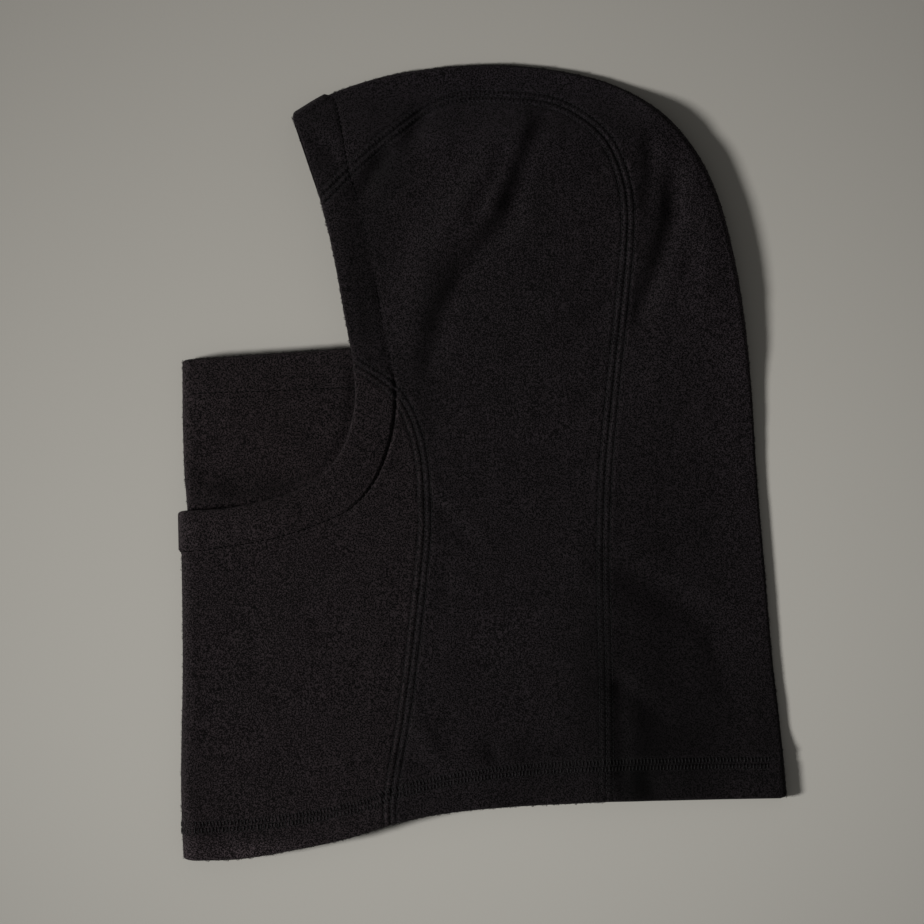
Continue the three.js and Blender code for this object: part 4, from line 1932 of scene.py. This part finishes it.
@dataclass(frozen=True)
class StudioPaperWithPaintedLight:
    """Matte pale paper with painted light: darker towards the far end, and lighter in a painted pool in the
    middle.
    """

    near: Colour = (0.62, 0.607, 0.568)
    far: Colour = (0.47, 0.456, 0.424)
    across: Span = (-0.32, 0.3)  # metres over which it goes from near to far
    # The painted pool of light: how light the paper is in the middle, and outside.
    painted_light_pool: Span = (1.12, 0.8)  # how light it is in the middle, and outside
    painted_light_pool_edge: float = 0.11  # square metres: the square of the distance from the middle

    def dress(self, piece: bpy.types.Object) -> None:
        """Puts the finish on a piece.

        Args:
            piece: The piece.
        """
        material, wire, surface = new_material("studio_paper_painted_light")
        surface.inputs["Specular IOR Level"].default_value = 0.1
        place = wire.add("ShaderNodeTexCoord").outputs["Object"]
        # Painted falloff of light: the paper goes from the near colour to the darker far colour.
        axes = wire.add("ShaderNodeSeparateXYZ", Vector=place)
        share = wire.add(
            "ShaderNodeMapRange",
            {"interpolation_type": "SMOOTHSTEP"},
            Value=axes.outputs["Y"],
            From_Min=self.across[0],
            From_Max=self.across[1],
        ).outputs[0]
        grain = wire.noise(place, 900.0, 3.0)
        shade = wire.maths("ADD", share, wire.maths("MULTIPLY", wire.maths("SUBTRACT", grain, 0.5), 0.05))
        # A painted pool of light, lightest in the middle.
        spot = wire.add("ShaderNodeVectorMath", {"operation": "DOT_PRODUCT"})
        wire.feed(spot.inputs[0], place)
        wire.feed(spot.inputs[1], place)
        fade = wire.add(
            "ShaderNodeMapRange",
            Value=spot.outputs["Value"],
            From_Min=0.0,
            From_Max=self.painted_light_pool_edge,
            To_Min=self.painted_light_pool[0],
            To_Max=self.painted_light_pool[1],
        ).outputs[0]
        paper = wire.scaled(wire.mix(shade, self.near, self.far), fade)
        wire.feed(surface.inputs["Base Color"], paper)
        wire.feed(surface.inputs["Roughness"], wire.maths("ADD", 0.86, wire.maths("MULTIPLY", grain, 0.1)))
        wire.bump(surface, grain, 0.08, 0.0002)
        piece.data.materials.append(material)


# The studio


@dataclass
class Studio:
    """The floor, the light and the camera."""

    centre: tuple[float, float] = (-0.0098, 0.0005)
    camera_height: float = 3.0
    view_width: float = 0.4528
    sensor: float = 36.0
    light_away: float = 5.0
    light_rise: float = 32.0
    light_turn: float = -11.0
    light_size: float = 1.0
    light_power: float = 228.0
    light_colour: Colour = (1.0, 0.985, 0.955)
    ambient: Colour = (0.1, 0.098, 0.094)
    backdrop: Colour = (0.33, 0.322, 0.3)
    floor_reach: float = 14000.0
    floor_drop: float = 0.2

    def floor(self) -> bpy.types.Object:
        """Lays the floor just under the balaclava.

        Returns:
            The floor.
        """
        reach, low = self.floor_reach, -self.floor_drop
        around = ((-reach, -reach), (reach, -reach), (reach, reach), (-reach, reach))
        corners = np.array([(*place, low) for place in around])
        piece = make_piece("studio_floor", corners, np.array([[0, 1, 2, 3]]))
        StudioPaperWithPaintedLight().dress(piece)
        return piece

    def light(self) -> bpy.types.Object:
        """Hangs one soft light to the left.

        Returns:
            The light.
        """
        data = bpy.data.lights.new("key_light", "AREA")
        data.shape, data.size, data.energy = "DISK", self.light_size, self.light_power
        data.color = self.light_colour
        lamp = bpy.data.objects.new("key_light", data)
        bpy.context.scene.collection.objects.link(lamp)
        rise, turn = math.radians(self.light_rise), math.radians(self.light_turn)
        way = Vector((-math.cos(rise) * math.cos(turn), math.cos(rise) * math.sin(turn), math.sin(rise)))
        lamp.location = way * self.light_away
        lamp.rotation_euler = way.to_track_quat("Z", "Y").to_euler()
        return lamp

    def world(self) -> None:
        """Fills the room with weak light behind a pale backdrop."""
        world = bpy.data.worlds.new("studio")
        world.use_nodes = True
        bpy.context.scene.world = world
        wire = Wiring(world.node_tree)
        fill = world.node_tree.nodes["Background"]
        fill.inputs["Color"].default_value = (*self.ambient, 1.0)
        seen = wire.add("ShaderNodeBackground", Color=(*self.backdrop, 1.0))
        either = wire.add("ShaderNodeMixShader")
        wire.feed(either.inputs[0], wire.add("ShaderNodeLightPath").outputs["Is Camera Ray"])
        wire.feed(either.inputs[1], fill.outputs[0])
        wire.feed(either.inputs[2], seen.outputs[0])
        wire.feed(world.node_tree.nodes["World Output"].inputs["Surface"], either.outputs[0])

    def camera(self) -> bpy.types.Object:
        """Hangs the camera straight above.

        Returns:
            The camera.
        """
        data = bpy.data.cameras.new("camera")
        data.sensor_width = self.sensor
        data.lens = self.sensor * self.camera_height / self.view_width
        data.clip_end = 100.0
        camera = bpy.data.objects.new("camera", data)
        bpy.context.scene.collection.objects.link(camera)
        camera.location = (*self.centre, self.camera_height)
        bpy.context.scene.camera = camera
        return camera

    def build(self) -> None:
        """Sets the studio up."""
        bpy.context.scene.view_settings.view_transform = "Standard"
        self.floor()
        self.light()
        self.world()
        self.camera()
        log.info("studio: floor, light, backdrop and camera")


@dataclass
class Balaclava:
    """The whole balaclava: five panels and their stitching."""

    pattern: Pattern = field(default_factory=Pattern)
    hood: Fleece = Fleece("hood_fleece", (0.0005, 0.0004, 0.0005), (0.0242, 0.0192, 0.0225))
    front: Fleece = Fleece("front_fleece", (0.0008, 0.0006, 0.0007), (0.0342, 0.0262, 0.0296))
    seam_thread: Thread = Thread()
    # The hem thread is near-black, darker than the seam thread: partly the thread's colour, partly painted
    # shade of the sunk stitches along the hems.
    hem_thread_with_painted_shade: Thread = Thread(
        dark=(0.0002, 0.0002, 0.0003), light=(0.0016, 0.0014, 0.0017), kind="hem", shine=0.1
    )

    def panels(self) -> list[Panel]:
        """The five panels, from the floor up.

        Returns:
            The panels.
        """
        drape = Drape(self.pattern)
        hood, front = (self.pattern, drape, self.hood), (self.pattern, drape, self.front)
        return [
            SidePanel(
                *hood, "side_panel_right", (0.15, 0.362), 0.0422, "laid", ("studio_floor",), 2.6, Ply.LOWER
            ),
            CrownStrip(*hood, "crown_strip", (0.2, 0.598), 0.0628, "folded", ("side_panel_right_cloth",)),
            FrontPanel(*front, "front_panel", (0.25, 0.281), 0.0524, "folded", ("studio_floor",)),
            MaskPanel(*front, "mask_panel", (0.222, 0.157), 0.0338, "folded", ("front_panel_cloth",)),
            SidePanel(
                *hood,
                "side_panel_left",
                (0.15, 0.362),
                0.0422,
                "laid",
                ("crown_strip_cloth", "front_panel_cloth"),
            ),
        ]

    def build(self) -> None:
        """Makes the panels and sews them."""
        for panel in self.panels():
            panel.build()
        drape = Drape(self.pattern)
        Threads(self.pattern, drape, self.seam_thread, self.hem_thread_with_painted_shade).build()
        EdgeNap(self.pattern, drape, self.hood).build()


def main() -> None:
    """Builds the studio and the balaclava."""
    logging.basicConfig(level=logging.INFO, format="%(name)s: %(message)s")
    Studio().build()
    Balaclava().build()


if __name__ == "__main__":
    main()
